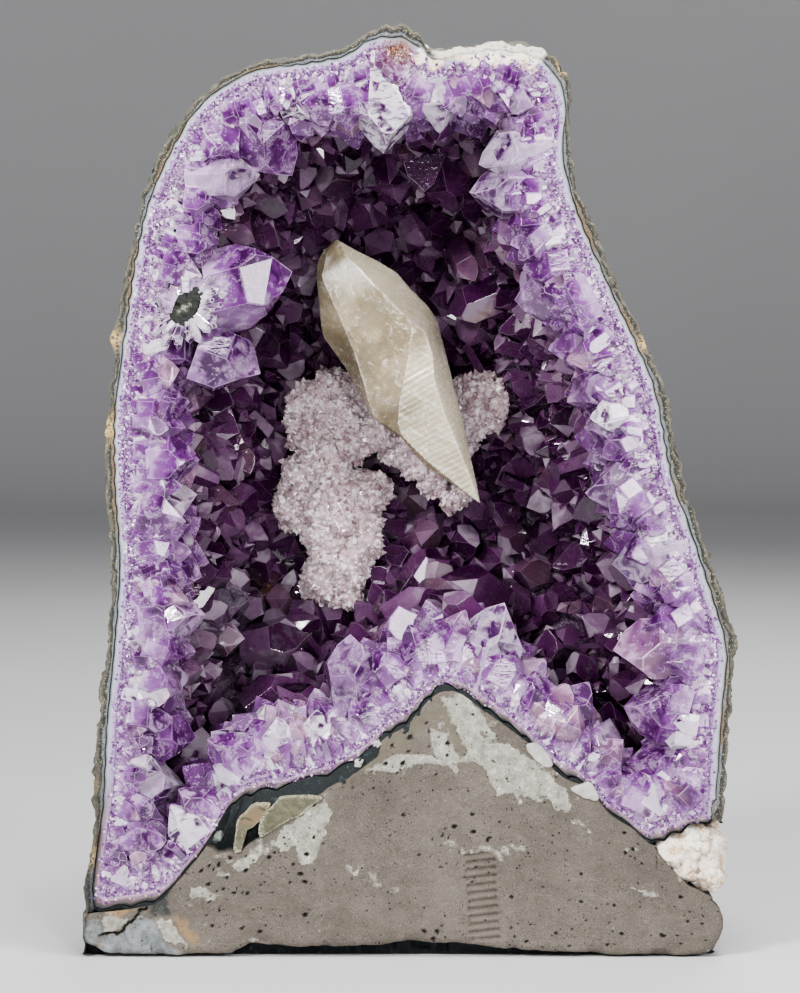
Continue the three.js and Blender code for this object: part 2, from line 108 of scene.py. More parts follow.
def reach(line, angles):
    """Distance from the axis to a line along each angle: where the two ends of a span lie on
    different sides of the ray, the crossing shares the span by their distances from the ray."""
    q = line - CENTRE
    aim = np.stack([np.cos(angles), np.sin(angles)], axis=1)
    side = q[None, :, 0] * aim[:, 1:] - q[None, :, 1] * aim[:, :1]
    a, b = side[:, :-1], side[:, 1:]
    crosses = (a * b <= 0) & (a != b)
    share = np.where(crosses, a / np.where(a == b, 1, a - b), 0)
    spot = q[None, :-1] + share[..., None] * (q[1:] - q[:-1])[None]
    distance = (spot * aim[:, None]).sum(axis=2)
    return np.where(crosses & (distance > 0), distance, np.inf).min(axis=1)


class Loop:
    """A radius by angle round the axis, the same with its corners worn down, and how much further
    an inset goes along the ray, where the ray meets the loop at a slant."""

    STEPS = 720

    def __init__(self, rim):
        self.rim = rim
        self.worn = self.smoothed(self.smoothed(rim, 22), 22)
        slope = (np.roll(rim, -1) - np.roll(rim, 1)) * self.STEPS / (2 * TURN)
        self.stretch = self.smoothed(np.minimum(2.4, np.hypot(1, slope / rim)), 10)

    @staticmethod
    def smoothed(values, window):
        """The mean of each value and as many as the window on either side of it."""
        return sum(np.roll(values, k) for k in range(-window, window + 1)) / (2 * window + 1)

    def radius(self, turn, inset=0.0, wear=0.0):
        """The radius at an angle, that far inside, worn by a share from 0 to 1."""
        turns = lambda values: np.arange(len(values)) / len(values) * TURN
        read = lambda values: np.interp(turn, turns(values), values, period=TURN)
        return read(self.rim) * (1 - wear) + read(self.worn) * wear - inset * read(self.stretch)

    def lobed(self, wave, height):
        """A copy with rounded lobes: the rim less the height by |sin| of a phase that grows by pi
        for each wave along the rim and wanders with noise."""
        turns = np.arange(4 * self.STEPS) / (4 * self.STEPS) * TURN
        rim = self.radius(turns)
        spots = around(turns, rim, 0.0)
        steps = np.linalg.norm(np.roll(spots, -1, axis=0) - spots, axis=1)
        full_phase = math.pi * round(steps.sum() / wave)
        phase = full_phase * np.cumsum(steps) / steps.sum() + 8 * noise(spots, 30, 15)
        by_hill = 0.25 + 0.75 * ease(hill_height(spots[:, 0]) + 16 - spots[:, 2], 0, 8)
        uneven = 0.3 + 1.3 * noise(spots, 22, 16)
        copy = Loop(self.rim)
        copy.rim = rim - height * by_hill * uneven * np.abs(np.sin(phase))
        return copy


def around(turn, r, y):
    """Points at that angle and radius round the axis, and at that place from front to back."""
    return np.stack(np.broadcast_arrays(
        CENTRE[0] + r * np.cos(turn), y, CENTRE[1] + r * np.sin(turn)), axis=-1)


def bowl(loop, inset, depth, turn, tilt):
    """Points of a bowl: the radius is the loop's, less the inset, by cos(tilt) to the power 2/2.5,
    and the depth behind the face goes by sin(tilt) to the same power."""
    spread = np.cos(tilt) ** (2 / BOWL_POWER)
    sunk = np.sin(tilt) ** (2 / BOWL_POWER)
    return around(turn, loop.radius(turn, inset, sunk) * spread, FRONT + depth * sunk)


# ---- chance and noise ----
def chance(n, k):
    """The same fraction, 0 to 1, for the same two numbers."""
    x = np.sin(np.asarray(n) * 12.9898 + k * 78.233) * 43758.5453
    return x - np.floor(x)


def lattice(cell, seed):
    """A fraction, 0 to 1, for each whole-numbered cell."""
    x, y, z = np.moveaxis(cell, -1, 0)
    h = (x * 374761393 + y * 668265263 + z * 2147483647 + seed * 97) & 0xFFFFFFFF
    h = ((h ^ (h >> 13)) * 1274126177) & 0xFFFFFFFF
    return (h ^ (h >> 16)) / 2.0**32


def noise(points, size, seed=0):
    """Fractions at the corners of cubes of that size, blended by 3f^2 - 2f^3 along each axis."""
    p = np.asarray(points) / size + 1000
    cell = np.floor(p).astype(np.int64)
    f = p - cell
    f = f * f * (3 - 2 * f)
    total = 0
    for corner in np.ndindex(2, 2, 2):
        weight = np.prod(np.where(corner, f, 1 - f), axis=-1)
        total = total + weight * lattice(cell + np.array(corner), seed)
    return total


def rough(points, size, octaves, seed=0):
    """Noise about zero: each octave is half the size and half the height of the one before."""
    return sum((noise(points, size / 2**k, seed + 11 * k) - 0.5) / 2**k for k in range(octaves))


def ease(x, start, end):
    """0 before start, 1 after end, smooth between."""
    t = np.clip((x - start) / (end - start), 0, 1)
    return t * t * (3 - 2 * t)


def unit(v):
    """The same directions with length 1."""
    return v / np.maximum(np.linalg.norm(v, axis=-1, keepdims=True), 1e-9)


ray = np.arange(Loop.STEPS) / Loop.STEPS * TURN
hill_line = spline(HILL, closed=False)
hill_height = lambda x: np.interp(x, hill_line[:, 0], hill_line[:, 1])
outer_loop = Loop(reach(spline(OUTLINE, closed=True), ray))
geode_loop = Loop(np.minimum(outer_loop.radius(ray, RIND), reach(hill_line, ray)))
agate_loop = geode_loop.lobed(wave=10.5, height=2.6)


def near(points, x, z, width):
    """1 at a spot of the sawn face, falling off as a bell of that width."""
    return np.exp(-((points[..., 0] - x) ** 2 + (points[..., 2] - z) ** 2) / width**2)


def inside(polygon, x, z):
    """Signed distance to a polygon, positive inside: the nearest edge's distance, with the sign of
    the count of edges crossed."""
    a = np.asarray(polygon, float)
    b = np.roll(a, -1, axis=0)
    p = np.stack([x, z], axis=-1)[..., None, :]
    edge = b - a
    share = np.clip(((p - a) * edge).sum(-1) / (edge**2).sum(-1), 0, 1)
    distance = np.linalg.norm(p - a - share[..., None] * edge, axis=-1).min(-1)
    spans = (a[:, 1] > p[..., 1]) != (b[:, 1] > p[..., 1])
    at = a[:, 0] + (p[..., 1] - a[:, 1]) / np.where(edge[:, 1] == 0, 1, edge[:, 1]) * edge[:, 0]
    odd = (spans & (p[..., 0] < at)).sum(-1) % 2 == 1
    return np.where(odd, distance, -distance)


# ---- meshes ----
def grid_faces(rows, columns, wrap=False, start=0):
    """Quads of a grid of points, row by row; wrap joins the last column to the first."""
    r = np.arange(rows - 1)[:, None]
    c = np.arange(columns if wrap else columns - 1)[None]
    n = (c + 1) % columns
    quad = [r * columns + c, r * columns + n, (r + 1) * columns + n, (r + 1) * columns + c]
    return np.stack(np.broadcast_arrays(*quad), axis=-1).reshape(-1, 4) + start


def tube(rows, first_pole, last_pole):
    """A closed skin of rings: quads between the rings, and a fan to a pole at each end."""
    count, columns = rows.shape[:2]
    points = np.vstack([rows.reshape(-1, 3), first_pole, last_pole])
    c = np.arange(columns)
    n = (c + 1) % columns
    end = (count - 1) * columns
    fans = [np.stack([np.full(columns, count * columns), n, c], axis=1),
            np.stack([np.full(columns, count * columns + 1), end + c, end + n], axis=1)]
    return points, [grid_faces(count, columns, wrap=True), *fans]


def volume(points, faces):
    """Six times the volume inside a closed skin, by the triangles of its faces."""
    total = 0
    for group in faces:
        for k in range(1, group.shape[1] - 1):
            a, b, c = points[group[:, 0]], points[group[:, k]], points[group[:, k + 1]]
            total += (a * np.cross(b, c)).sum()
    return total


def add_piece(name, points, faces, material, replaces=(), smooth=False, crease=0.0, paint=None):
    """A piece of the object from points in mm and groups of faces, each group with as many corners
    a face. paint gives each attribute's value by point. Edges sharper than crease stay sharp."""
    if volume(points, faces) < 0:
        faces = [group[:, ::-1] for group in faces]
    mesh = bpy.data.meshes.new(name)
    mesh.vertices.add(len(points))
    mesh.vertices.foreach_set("co", (points * MM).astype(np.float32).ravel())
    corners = np.concatenate([group.ravel() for group in faces]).astype(np.int32)
    sizes = np.concatenate([np.full(len(group), group.shape[1]) for group in faces])
    mesh.loops.add(len(corners))
    mesh.loops.foreach_set("vertex_index", corners)
    mesh.polygons.add(len(sizes))
    mesh.polygons.foreach_set("loop_start", (np.cumsum(sizes) - sizes).astype(np.int32))
    mesh.polygons.foreach_set("use_smooth", np.full(len(sizes), smooth))
    mesh.update(calc_edges=True)
    if crease:
        mesh.set_sharp_from_angle(angle=crease)
    for key, values in (paint or {}).items():
        values = np.broadcast_to(values, len(points)).astype(np.float32)
        mesh.attributes.new(key, "FLOAT", "POINT").data.foreach_set("value", values)
    mesh.materials.append(material)
    piece = bpy.data.objects.new(name, mesh)
    bpy.context.scene.collection.objects.link(piece)
    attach(piece, "root")
    if replaces:
        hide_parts(*replaces)
    return piece


def grid_normals(p, wrap):
    """Unit normals of a grid of points, from the cross product of its two differences."""
    down = np.gradient(p, axis=0)
    if wrap:
        across = np.roll(p, -1, axis=1) - np.roll(p, 1, axis=1)
    else:
        across = np.gradient(p, axis=1)
    return unit(np.cross(down, across))


def joined(parts):
    """One list of points, groups of faces and paint from several."""
    points, faces, paint, start = [], [], {}, 0
    for some_points, some_faces, some_paint in parts:
        points.append(some_points)
        faces += [group + start for group in some_faces]
        for key, values in some_paint.items():
            paint.setdefault(key, []).append(np.broadcast_to(values, len(some_points)))
        start += len(some_points)
    return np.vstack(points), faces, {key: np.concatenate(values) for key, values in paint.items()}


# ---- crystals ----
SLOPE = 1.27  # of a point's faces: how much they fall for each unit out from the axis
SIXTH = math.pi / 3
SAW_RELIEF = 0.7  # how far sawn crystals still stand out of their plane, and over what depth
SAW_REACH = 4.0
UNSAWN = -1e6  # the sawn plane of crystals that the saw doesn't reach


def meet(*planes):
    """The point where three planes (normal, height) meet, for every crystal at once."""
    normals = np.stack([n for n, _ in planes], axis=1)
    heights = np.stack([h for _, h in planes], axis=1)
    return np.linalg.solve(normals, heights[..., None])[..., 0]


def fine_points(c):
    """Quartz points cut by true planes: six shaft planes at chosen distances, three broad faces
    that meet at the tip, and three small ones that cut the edges between them. In a crystal's own
    frame z runs along the axis, and a face falls by SLOPE from its height on the axis."""
    n = len(c["radius"])
    pick = np.random.default_rng(c["seed"])
    odd = np.arange(6) % 2 == 1
    out = 1 + np.where(odd, 0, pick.uniform(0, 0.2, (n, 6)))
    tall = (c["length"] / c["radius"])[:, None]
    top = tall + np.where(odd, pick.uniform(0.06, 0.5, (n, 6)), pick.uniform(-0.07, 0.07, (n, 6)))
    aim = SIXTH * np.arange(6)
    flat = np.stack([np.cos(aim), np.sin(aim), np.zeros(6)], axis=1)
    shaft = [(np.broadcast_to(flat[k], (n, 3)), out[:, k]) for k in range(6)]
    face = [(np.broadcast_to(flat[k] * SLOPE + [0, 0, 1], (n, 3)), top[:, k]) for k in range(6)]
    ground = (np.broadcast_to([0.0, 0.0, 1.0], (n, 3)), np.zeros(n))
    spots = [meet(face[0], face[2], face[4])]
    spots += [meet(face[k - 1], face[(k + 1) % 6], face[k]) for k in (1, 3, 5)]
    for k in (1, 3, 5):
        spots += [meet(shaft[k], face[k], face[k - 1]), meet(shaft[k], face[k], face[(k + 1) % 6])]
    for k in range(6):
        broad = k if k % 2 == 0 else (k + 1) % 6
        spots.append(meet(shaft[k], shaft[(k + 1) % 6], face[broad]))
    spots += [meet(shaft[k], shaft[(k + 1) % 6], ground) for k in range(6)]
    tip, notch, left, right = 0, {1: 1, 3: 2, 5: 3}, {1: 4, 3: 6, 5: 8}, {1: 5, 3: 7, 5: 9}
    edge = lambda k: 10 + k % 6
    foot = lambda k: 16 + k % 6
    seven, three, six, four, ground_face = [], [], [], [], [[foot(k) for k in range(6)][::-1]]
    for k in (0, 2, 4):
        before, after = (k + 5) % 6, k + 1
        seven.append([tip, notch[before], right[before], edge(k - 1), edge(k), left[after], notch[after]])
        four.append([foot(k - 1), foot(k), edge(k), edge(k - 1)])
    for k in (1, 3, 5):
        three.append([notch[k], left[k], right[k]])
        six.append([foot(k - 1), foot(k), edge(k), right[k], left[k], edge(k - 1)])
    return np.stack(spots, axis=1), [three, four, six, seven, ground_face]


def plain_points(c):
    """Small quartz points: a six-sided shaft, its shoulder in turn high and low, and a tip."""
    n = len(c["radius"])
    pick = np.random.default_rng(c["seed"])
    tall = (c["length"] / c["radius"])[:, None]
    aim = SIXTH * np.arange(6) + pick.uniform(-0.12, 0.12, (n, 6))
    wide = pick.uniform(0.85, 1.15, (n, 6))
    drop = np.where(np.arange(6) % 2, 1.25, 1.0) + pick.uniform(-0.12, 0.12, (n, 6))
    shoulder = np.stack([wide * np.cos(aim), wide * np.sin(aim), np.maximum(tall - drop, 0.2)], axis=2)
    foot = shoulder * [0.75, 0.75, 0]
    tip = np.stack([*pick.uniform(-0.15, 0.15, (2, n)), tall[:, 0]], axis=1)[:, None]
    ring = range(6)
    faces = [[[0, 1 + k, 1 + (k + 1) % 6] for k in ring],
             [[1 + k, 7 + k, 7 + (k + 1) % 6, 1 + (k + 1) % 6] for k in ring],
             [[7 + k for k in ring][::-1]]]
    return np.concatenate([tip, shoulder, foot], axis=1), faces


def grains(c):
    """The smallest crystals: six-sided pyramids."""
    n = len(c["radius"])
    pick = np.random.default_rng(c["seed"])
    aim = SIXTH * np.arange(6) + pick.uniform(-0.2, 0.2, (n, 6))
    ring = np.stack([np.cos(aim), np.sin(aim), 0.15 * np.sin(3 * aim)], axis=2)
    tip = np.stack([*pick.uniform(-0.3, 0.3, (2, n)), c["length"] / c["radius"]], axis=1)[:, None]
    faces = [[[0, 1 + k, 1 + (k + 1) % 6] for k in range(6)], [[6, 5, 4, 3, 2, 1]]]
    return np.concatenate([tip, ring], axis=1), faces


def grown(shape, c, frame_width=0.0):
    """Places every crystal: its own x and y axes lie square to its axis and turn by its roll. What
    stands in front of its sawn plane is pressed to that plane: a height h is left as
    SAW_RELIEF (1 - e^(-h / SAW_REACH))."""
    local, groups = shape(c)
    up = unit(c["axis"])
    across = unit(np.cross(up, np.where(np.abs(up[:, :1]) < 0.8, [[1.0, 0, 0]], [[0, 0, 1.0]])))
    other = np.cross(up, across)
    cos, sin = np.cos(c["roll"])[:, None], np.sin(c["roll"])[:, None]
    x, y = across * cos + other * sin, other * cos - across * sin
    spots = (local[..., 0:1] * x[:, None] * c["flat"][:, None, None] + local[..., 1:2] * y[:, None]
             + local[..., 2:3] * up[:, None]) * c["radius"][:, None, None] + c["foot"][:, None]
    ahead = np.maximum(c["plane"][:, None] - spots[..., 1], 0)
    spots[..., 1] += ahead - SAW_RELIEF * (1 - np.exp(-ahead / SAW_REACH))
    count, corners = local.shape[:2]
    start = (np.arange(count) * corners)[:, None, None]
    points = spots.reshape(-1, 3)
    faces = [(np.array(group)[None] + start).reshape(-1, len(group[0])) for group in groups]
    if volume(points, faces) < 0:
        faces = [group[:, ::-1] for group in faces]
    rise = local[..., 2] / np.maximum(local[..., 2].max(axis=1, keepdims=True), 1e-6)
    paint = {"rise": rise.ravel()}
    for key in ("tint", "deep", "frost"):
        paint[key] = np.repeat(c[key], corners)
    # edge and shade carry the finish's painted edge highlight and painted facet highlight and shade
    paint["edge"] = np.full(len(points), 0.7)
    paint["shade"] = np.repeat(chance(np.arange(count), 7), corners)
    return framed(points, faces, paint, frame_width) if frame_width else (points, faces, paint)


def framed(points, faces, paint, width):
    """Gives every face but those of the last group, the grounds, a narrow bevel: a copy of the face,
    its corners drawn towards its middle by the width and lifted by a tenth of that, and a ring of
    quads round it. "edge" is 0 on the old corners and 1 on the new ones; the finish paints the bevels
    paler by it, as a painted highlight. "shade" is one chance value for each face, which the finish
    turns into painted highlight and painted shade on that face."""
    all_points, all_faces, start = [points], [], len(points)
    paint = {key: [values] for key, values in paint.items()}
    paint["edge"], paint["shade"] = [np.zeros(len(points))], [np.full(len(points), 0.5)]
    for group in faces[:-1]:
        count, sides = group.shape
        corner = points[group]
        arm = corner.mean(axis=1, keepdims=True) - corner
        share = np.minimum(0.45, width / np.maximum(np.linalg.norm(arm, axis=2, keepdims=True), 1e-6))
        normal = unit(np.cross(arm, np.roll(arm, -1, axis=1)).sum(axis=1))[:, None]
        inner = corner + arm * share + normal * width * 0.1
        new = start + np.arange(count * sides).reshape(count, sides)
        ring = np.stack([group, np.roll(group, -1, axis=1), np.roll(new, -1, axis=1), new], axis=2)
        all_points.append(inner.reshape(-1, 3))
        all_faces += [ring.reshape(-1, 4), new]
        for key in paint:
            if key == "edge":
                paint[key].append(np.ones(count * sides))
            elif key == "shade":
                paint[key].append(np.repeat(chance(np.arange(count) + start * 0.37, sides), sides))
            else:
                value = paint[key][0][group]
                drawn = value + (value.mean(axis=1, keepdims=True) - value) * share[..., 0]
                paint[key].append(drawn.ravel())
        start += count * sides
    all_faces.append(faces[-1])
    return np.vstack(all_points), all_faces, {key: np.concatenate(values) for key, values in paint.items()}


def crystals(foot, axis, radius, length, seed, plane=None, flat=(0.85, 1.2), **more):
    """Facts of a set of crystals, by crystal. plane is the lowest place of their sawn planes, behind
    the sawn face: each crystal's own lies up to 1.1 mm further back."""
    n = len(foot)
    pick = np.random.default_rng(seed)
    facts = {
        "foot": np.asarray(foot, float), "axis": np.asarray(axis, float), "seed": seed + 1,
        "radius": np.broadcast_to(radius, n).astype(float),
        "length": np.broadcast_to(length, n).astype(float),
        "roll": pick.uniform(0, TURN, n), "flat": pick.uniform(*flat, n), "tint": pick.uniform(0, 1, n),
        "deep": np.zeros(n), "frost": np.zeros(n),
    }
    if plane is None:
        facts["plane"] = np.full(n, UNSAWN)
    else:
        facts["plane"] = FRONT + SAW_RELIEF + plane + pick.uniform(0, 1.1, n)
    facts.update({key: np.broadcast_to(value, n).astype(float) for key, value in more.items()})
    facts["axis"] = unit(facts["axis"])
    facts["foot"], facts["radius"], facts["length"] = held_in(
        facts["foot"], facts["axis"], facts["radius"], facts["length"])
    return facts


def fill(points):
    """How far out a point lies in the geode: 0 on the axis at the sawn face, 1 on the agate."""
    away = points[:, ::2] - CENTRE
    sunk = np.clip((points[:, 1] - FRONT) / (GEODE_DEPTH - AGATE), 0, 1)
    reach_out = geode_loop.radius(np.arctan2(away[:, 1], away[:, 0]), AGATE + 1.5, sunk)
    return (np.linalg.norm(away, axis=1) / reach_out) ** BOWL_POWER + sunk**BOWL_POWER


def held_in(foot, axis, radius, length):
    """Feet that stick out of the geode are moved up along their axes until they don't."""
    heart = np.array([CENTRE[0], FRONT + 30, CENTRE[1]])
    foot, length, radius = foot.copy(), length.copy(), radius.copy()
    for _ in range(9):
        outward = foot - heart
        aside = unit(outward - (outward * axis).sum(axis=1, keepdims=True) * axis)
        stuck = fill(foot + aside * (radius * 1.1)[:, None]) > 1
        foot[stuck] += axis[stuck] * (length[stuck] * 0.1)[:, None]
        length[stuck] *= 0.9
        radius[stuck] *= 0.97
    return foot, radius, length


def spaced(spots, rooms):
    """Which spots are kept, in order, when each keeps its room clear of those before it."""
    kept = []
    for i, spot in enumerate(spots):
        if not kept or np.all(((spots[kept] - spot) ** 2).sum(axis=1) > rooms[i] ** 2):
            kept.append(i)
    return np.array(kept)


# ---- finishes ----
class Field:
    """A node's output, for sums: each sign adds a Math node."""

    def __init__(self, finish, socket):
        self.finish, self.socket = finish, socket

    def maths(self, operation, other):
        """This field and another, or a number, through one Math node."""
        return self.finish.node("ShaderNodeMath", {"operation": operation}, {0: self, 1: other})

    def __add__(self, other):
        return self.maths("ADD", other)

    def __sub__(self, other):
        return self.maths("SUBTRACT", other)

    def __mul__(self, other):
        return self.maths("MULTIPLY", other)

    def __rsub__(self, other):
        return self.finish.node("ShaderNodeMath", {"operation": "SUBTRACT"}, {0: other, 1: self})

    __radd__, __rmul__ = __add__, __mul__

    def most(self, other):
        """The larger of the two."""
        return self.maths("MAXIMUM", other)

    def between(self, start, end):
        """0 below start, 1 above end, smooth between; start may be above end."""
        return self.finish.node(
            "ShaderNodeMapRange", {"interpolation_type": "SMOOTHSTEP"},
            {0: self, 1: start, 2: end, 3: 0.0, 4: 1.0})


class Finish:
    """A material under construction."""

    def __init__(self, name):
        self.material = bpy.data.materials.new(name)
        self.material.use_nodes = True
        self.tree = self.material.node_tree
        self.tree.nodes.clear()
        self.place = self.node("ShaderNodeTexCoord", output="Object")

    def node(self, kind, settings=None, inputs=None, output=0):
        """A node of that kind: its settings first, then its values and links; returns its output."""
        node = self.tree.nodes.new(kind)
        for key, value in (settings or {}).items():
            if key == "stops":
                self.set_stops(node.color_ramp, value)
            else:
                setattr(node, key, value)
        for key, value in (inputs or {}).items():
            if isinstance(value, Field):
                self.tree.links.new(value.socket, node.inputs[key])
            else:
                node.inputs[key].default_value = value
        return Field(self, node.outputs[output])

    @staticmethod
    def set_stops(ramp, stops):
        """A new ramp has two stops: more are added, then all of them are set."""
        while len(ramp.elements) < len(stops):
            ramp.elements.new(1.0)
        for element, (position, colour) in zip(ramp.elements, stops):
            element.position = position
            element.color = (*colour, 1)

    def paint(self, key):
        """The piece's own attribute of that name."""
        return self.node("ShaderNodeAttribute", {"attribute_name": key}, output="Fac")

    def noise(self, size, detail, roughness=0.55, distortion=0.0, place=None):
        """Cloudy noise whose features are about that many millimetres across."""
        inputs = {"Vector": place or self.place, "Scale": 1 / (size * MM), "Detail": detail,
                  "Roughness": roughness, "Distortion": distortion}
        return self.node("ShaderNodeTexNoise", {}, inputs)

    def cells(self, size, output="Distance"):
        """Cells about that many millimetres across."""
        inputs = {"Vector": self.place, "Scale": 1 / (size * MM)}
        return self.node("ShaderNodeTexVoronoi", {}, inputs, output)

    def turned(self, angle):
        """Places turned round the front-to-back axis."""
        inputs = {"Vector": self.place, "Angle": angle}
        return self.node("ShaderNodeVectorRotate", {"rotation_type": "Y_AXIS"}, inputs)

    def stretched(self, place, scale):
        """Places scaled along each axis: a pattern gets longer where the scale is below 1."""
        return self.node("ShaderNodeVectorMath", {"operation": "MULTIPLY"}, {0: place, 1: scale})

    def ramp(self, value, *stops):
        """Colours by value, from stops of (value, colour)."""
        return self.node("ShaderNodeValToRGB", {"stops": stops}, {0: value})

    def mix(self, share, a, b):
        """Colour a with that share of colour b."""
        colour = lambda c: c if isinstance(c, Field) else (*c, 1)
        return self.node("ShaderNodeMix", {"data_type": "RGBA"}, {0: share, 6: colour(a), 7: colour(b)}, 2)

    def bump(self, height, strength, distance):
        """Normals bumped by a height, which counts for that many millimetres."""
        inputs = {"Height": height, "Strength": strength, "Distance": distance * MM}
        return self.node("ShaderNodeBump", {}, inputs, "Normal")

    def done(self, surface, **inputs):
        """Ends the material in a Principled shader with these sockets."""
        sockets = {key.replace("_", " "): value for key, value in inputs.items()}
        shader = self.node("ShaderNodeBsdfPrincipled", {}, {**sockets, **surface}, "BSDF")
        output = self.tree.nodes.new("ShaderNodeOutputMaterial")
        self.tree.links.new(shader.socket, output.inputs["Surface"])
        return self.material


def rind_finish():
    """Weathered basalt skin: grey-brown and greenish, black pits, tan and ochre flecks. On the rim
    a tan crust, and green-black inside it. Where "hill" is painted it turns teal-black: dark rock on
    the rim behind the foot, darkened as painted shadow, and a painted shadow low on the front of the
    outside, under the foot."""
    f = Finish("weathered_basalt")
    broad, middle, fine = f.noise(28, 4), f.noise(7, 4, 0.6), f.noise(1.3, 3, 0.7)
    colour = f.ramp(broad * 0.5 + middle * 0.5,
                    (0.30, (0.060, 0.058, 0.050)), (0.45, (0.125, 0.115, 0.097)),
                    (0.56, (0.20, 0.18, 0.15)), (0.72, (0.31, 0.28, 0.235)))
    green = f.noise(19, 3).between(0.50, 0.62)
    colour = f.mix(green * 0.6, colour, (0.085, 0.10, 0.075))
    ochre = (f.noise(9, 5, 0.65) * 0.7 + fine * 0.3).between(0.55, 0.63)
    colour = f.mix(ochre * 0.5, colour, (0.33, 0.225, 0.125))
    band = f.paint("band") + (middle - 0.5) * 0.8
    skin = f.mix(f.noise(38, 3).between(0.48, 0.60), (0.155, 0.170, 0.185), (0.165, 0.115, 0.070))
    rim = f.ramp(band, (0.12, (0.150, 0.132, 0.098)), (0.34, (0.062, 0.060, 0.046)),
                 (0.55, (0.020, 0.022, 0.019)))
    rim = f.mix(band.between(0.66, 0.80), rim, skin)
    rim = f.mix(f.noise(0.6, 3, 0.8).between(0.50, 0.58) * 0.6, rim, (0.022, 0.022, 0.018))
    rim = f.mix(f.noise(0.83, 3, 0.8).between(0.58, 0.64) * 0.75, rim, (0.46, 0.41, 0.31))
    # dark rock and painted shadow: the teal-black put where "hill" is painted, on the rim behind the foot
    # and low at the front of the outside under the foot
    dark_rock_and_painted_shadow = f.mix(f.noise(2.5, 4, 0.7).between(0.56, 0.74), (0.006, 0.009, 0.011), (0.055, 0.090, 0.095))
    cream = f.mix(fine, (0.42, 0.37, 0.31), (0.84, 0.80, 0.74))
    rim = f.mix(f.paint("cream"), f.mix(f.paint("hill"), rim, dark_rock_and_painted_shadow), cream)
    # painted shadow: low at the front of the outside, under the foot's chipped edge
    colour = f.mix(f.paint("hill"), colour, dark_rock_and_painted_shadow)
    colour = f.mix(f.paint("band").between(0.0, 0.12), colour, rim)
    colour = f.mix(f.paint("gold") * fine.between(0.40, 0.55), colour, (0.52, 0.37, 0.17))
    dark = (0.62 - fine).between(0.16, 0.30) * 0.5
    colour = f.mix(f.paint("pit").most(dark), colour, (0.020, 0.019, 0.017))
    height = middle * 0.6 + fine * 0.5 + f.cells(2.2) * 0.3
    return f.done({"Base Color": colour, "Roughness": 0.74 + fine * 0.2,
                   "Normal": f.bump(height, 0.6, 1.0)})


def foot_finish():
    """Sawn basalt: taupe grey and sandy, pale skin in patches, black pores, a dark teal seam."""
    f = Finish("sawn_basalt")
    broad, middle, fine = f.noise(34, 4, 0.6), f.noise(6, 4, 0.6), f.noise(0.9, 3, 0.8)
    sand = f.noise(0.45, 2, 0.8)
    stone = f.ramp(broad * 0.45 + middle * 0.25 + fine * 0.3,
                   (0.36, (0.076, 0.064, 0.052)), (0.5, (0.115, 0.097, 0.079)),
                   (0.64, (0.163, 0.141, 0.117)))
    stone = f.mix(sand.between(0.58, 0.70) * 0.55, stone, (0.33, 0.305, 0.27))
    stone = f.mix(sand.between(0.44, 0.34) * 0.65, stone, (0.038, 0.033, 0.028))
    skin = f.ramp(f.noise(4.2, 5, 0.7) * 0.6 + fine * 0.2 + sand * 0.2,
                  (0.38, (0.165, 0.155, 0.125)), (0.48, (0.275, 0.27, 0.225)), (0.56, (0.37, 0.365, 0.32)),
                  (0.66, (0.74, 0.73, 0.69)))
    pale = f.paint("pale") + (f.noise(3.0, 5, 0.75) - 0.5) * 1.7
    colour = f.mix(pale.between(0.38, 0.72) * 0.92, stone, skin)
    colour = f.mix(f.paint("taupe"), colour, f.mix(middle, (0.085, 0.074, 0.052), (0.175, 0.155, 0.115)))
    marbled = (f.noise(11, 4, 0.6, 1.2) * 0.7 + fine * 0.3).between(0.36, 0.62)
    blue = f.mix(marbled, (0.105, 0.115, 0.120), (0.235, 0.245, 0.245))
    colour = f.mix(f.paint("blue"), colour, blue)
    ochre = f.mix(fine * 0.5 + middle * 0.5, (0.10, 0.062, 0.032), (0.36, 0.25, 0.14))
    colour = f.mix(f.paint("ochre"), colour, ochre)
    teal = f.mix(f.noise(2.5, 4, 0.7).between(0.50, 0.70), (0.006, 0.010, 0.012), (0.075, 0.125, 0.13))
    colour = f.mix(f.paint("seam"), colour, teal)
    speck = f.cells(2.3).between(0.17, 0.10) * f.noise(14, 2).between(0.40, 0.55)
    speck = speck.most(f.cells(4.6).between(0.13, 0.09) * f.noise(23, 2).between(0.36, 0.50)) * 0.9
    colour = f.mix(f.paint("pit").most(speck), colour, (0.010, 0.009, 0.008))
    hatch = f.noise(1.0, 3, 0.7, 0.0, f.stretched(f.turned(-0.3), (0.45, 1.0, 1.3)))
    height = fine * 0.3 + middle * 0.2 + sand * 0.25 + hatch * 0.6 - speck * 0.8
    return f.done({"Base Color": colour, "Roughness": 0.76 + fine * 0.2,
                   "Normal": f.bump(height, 0.6, 0.8)})


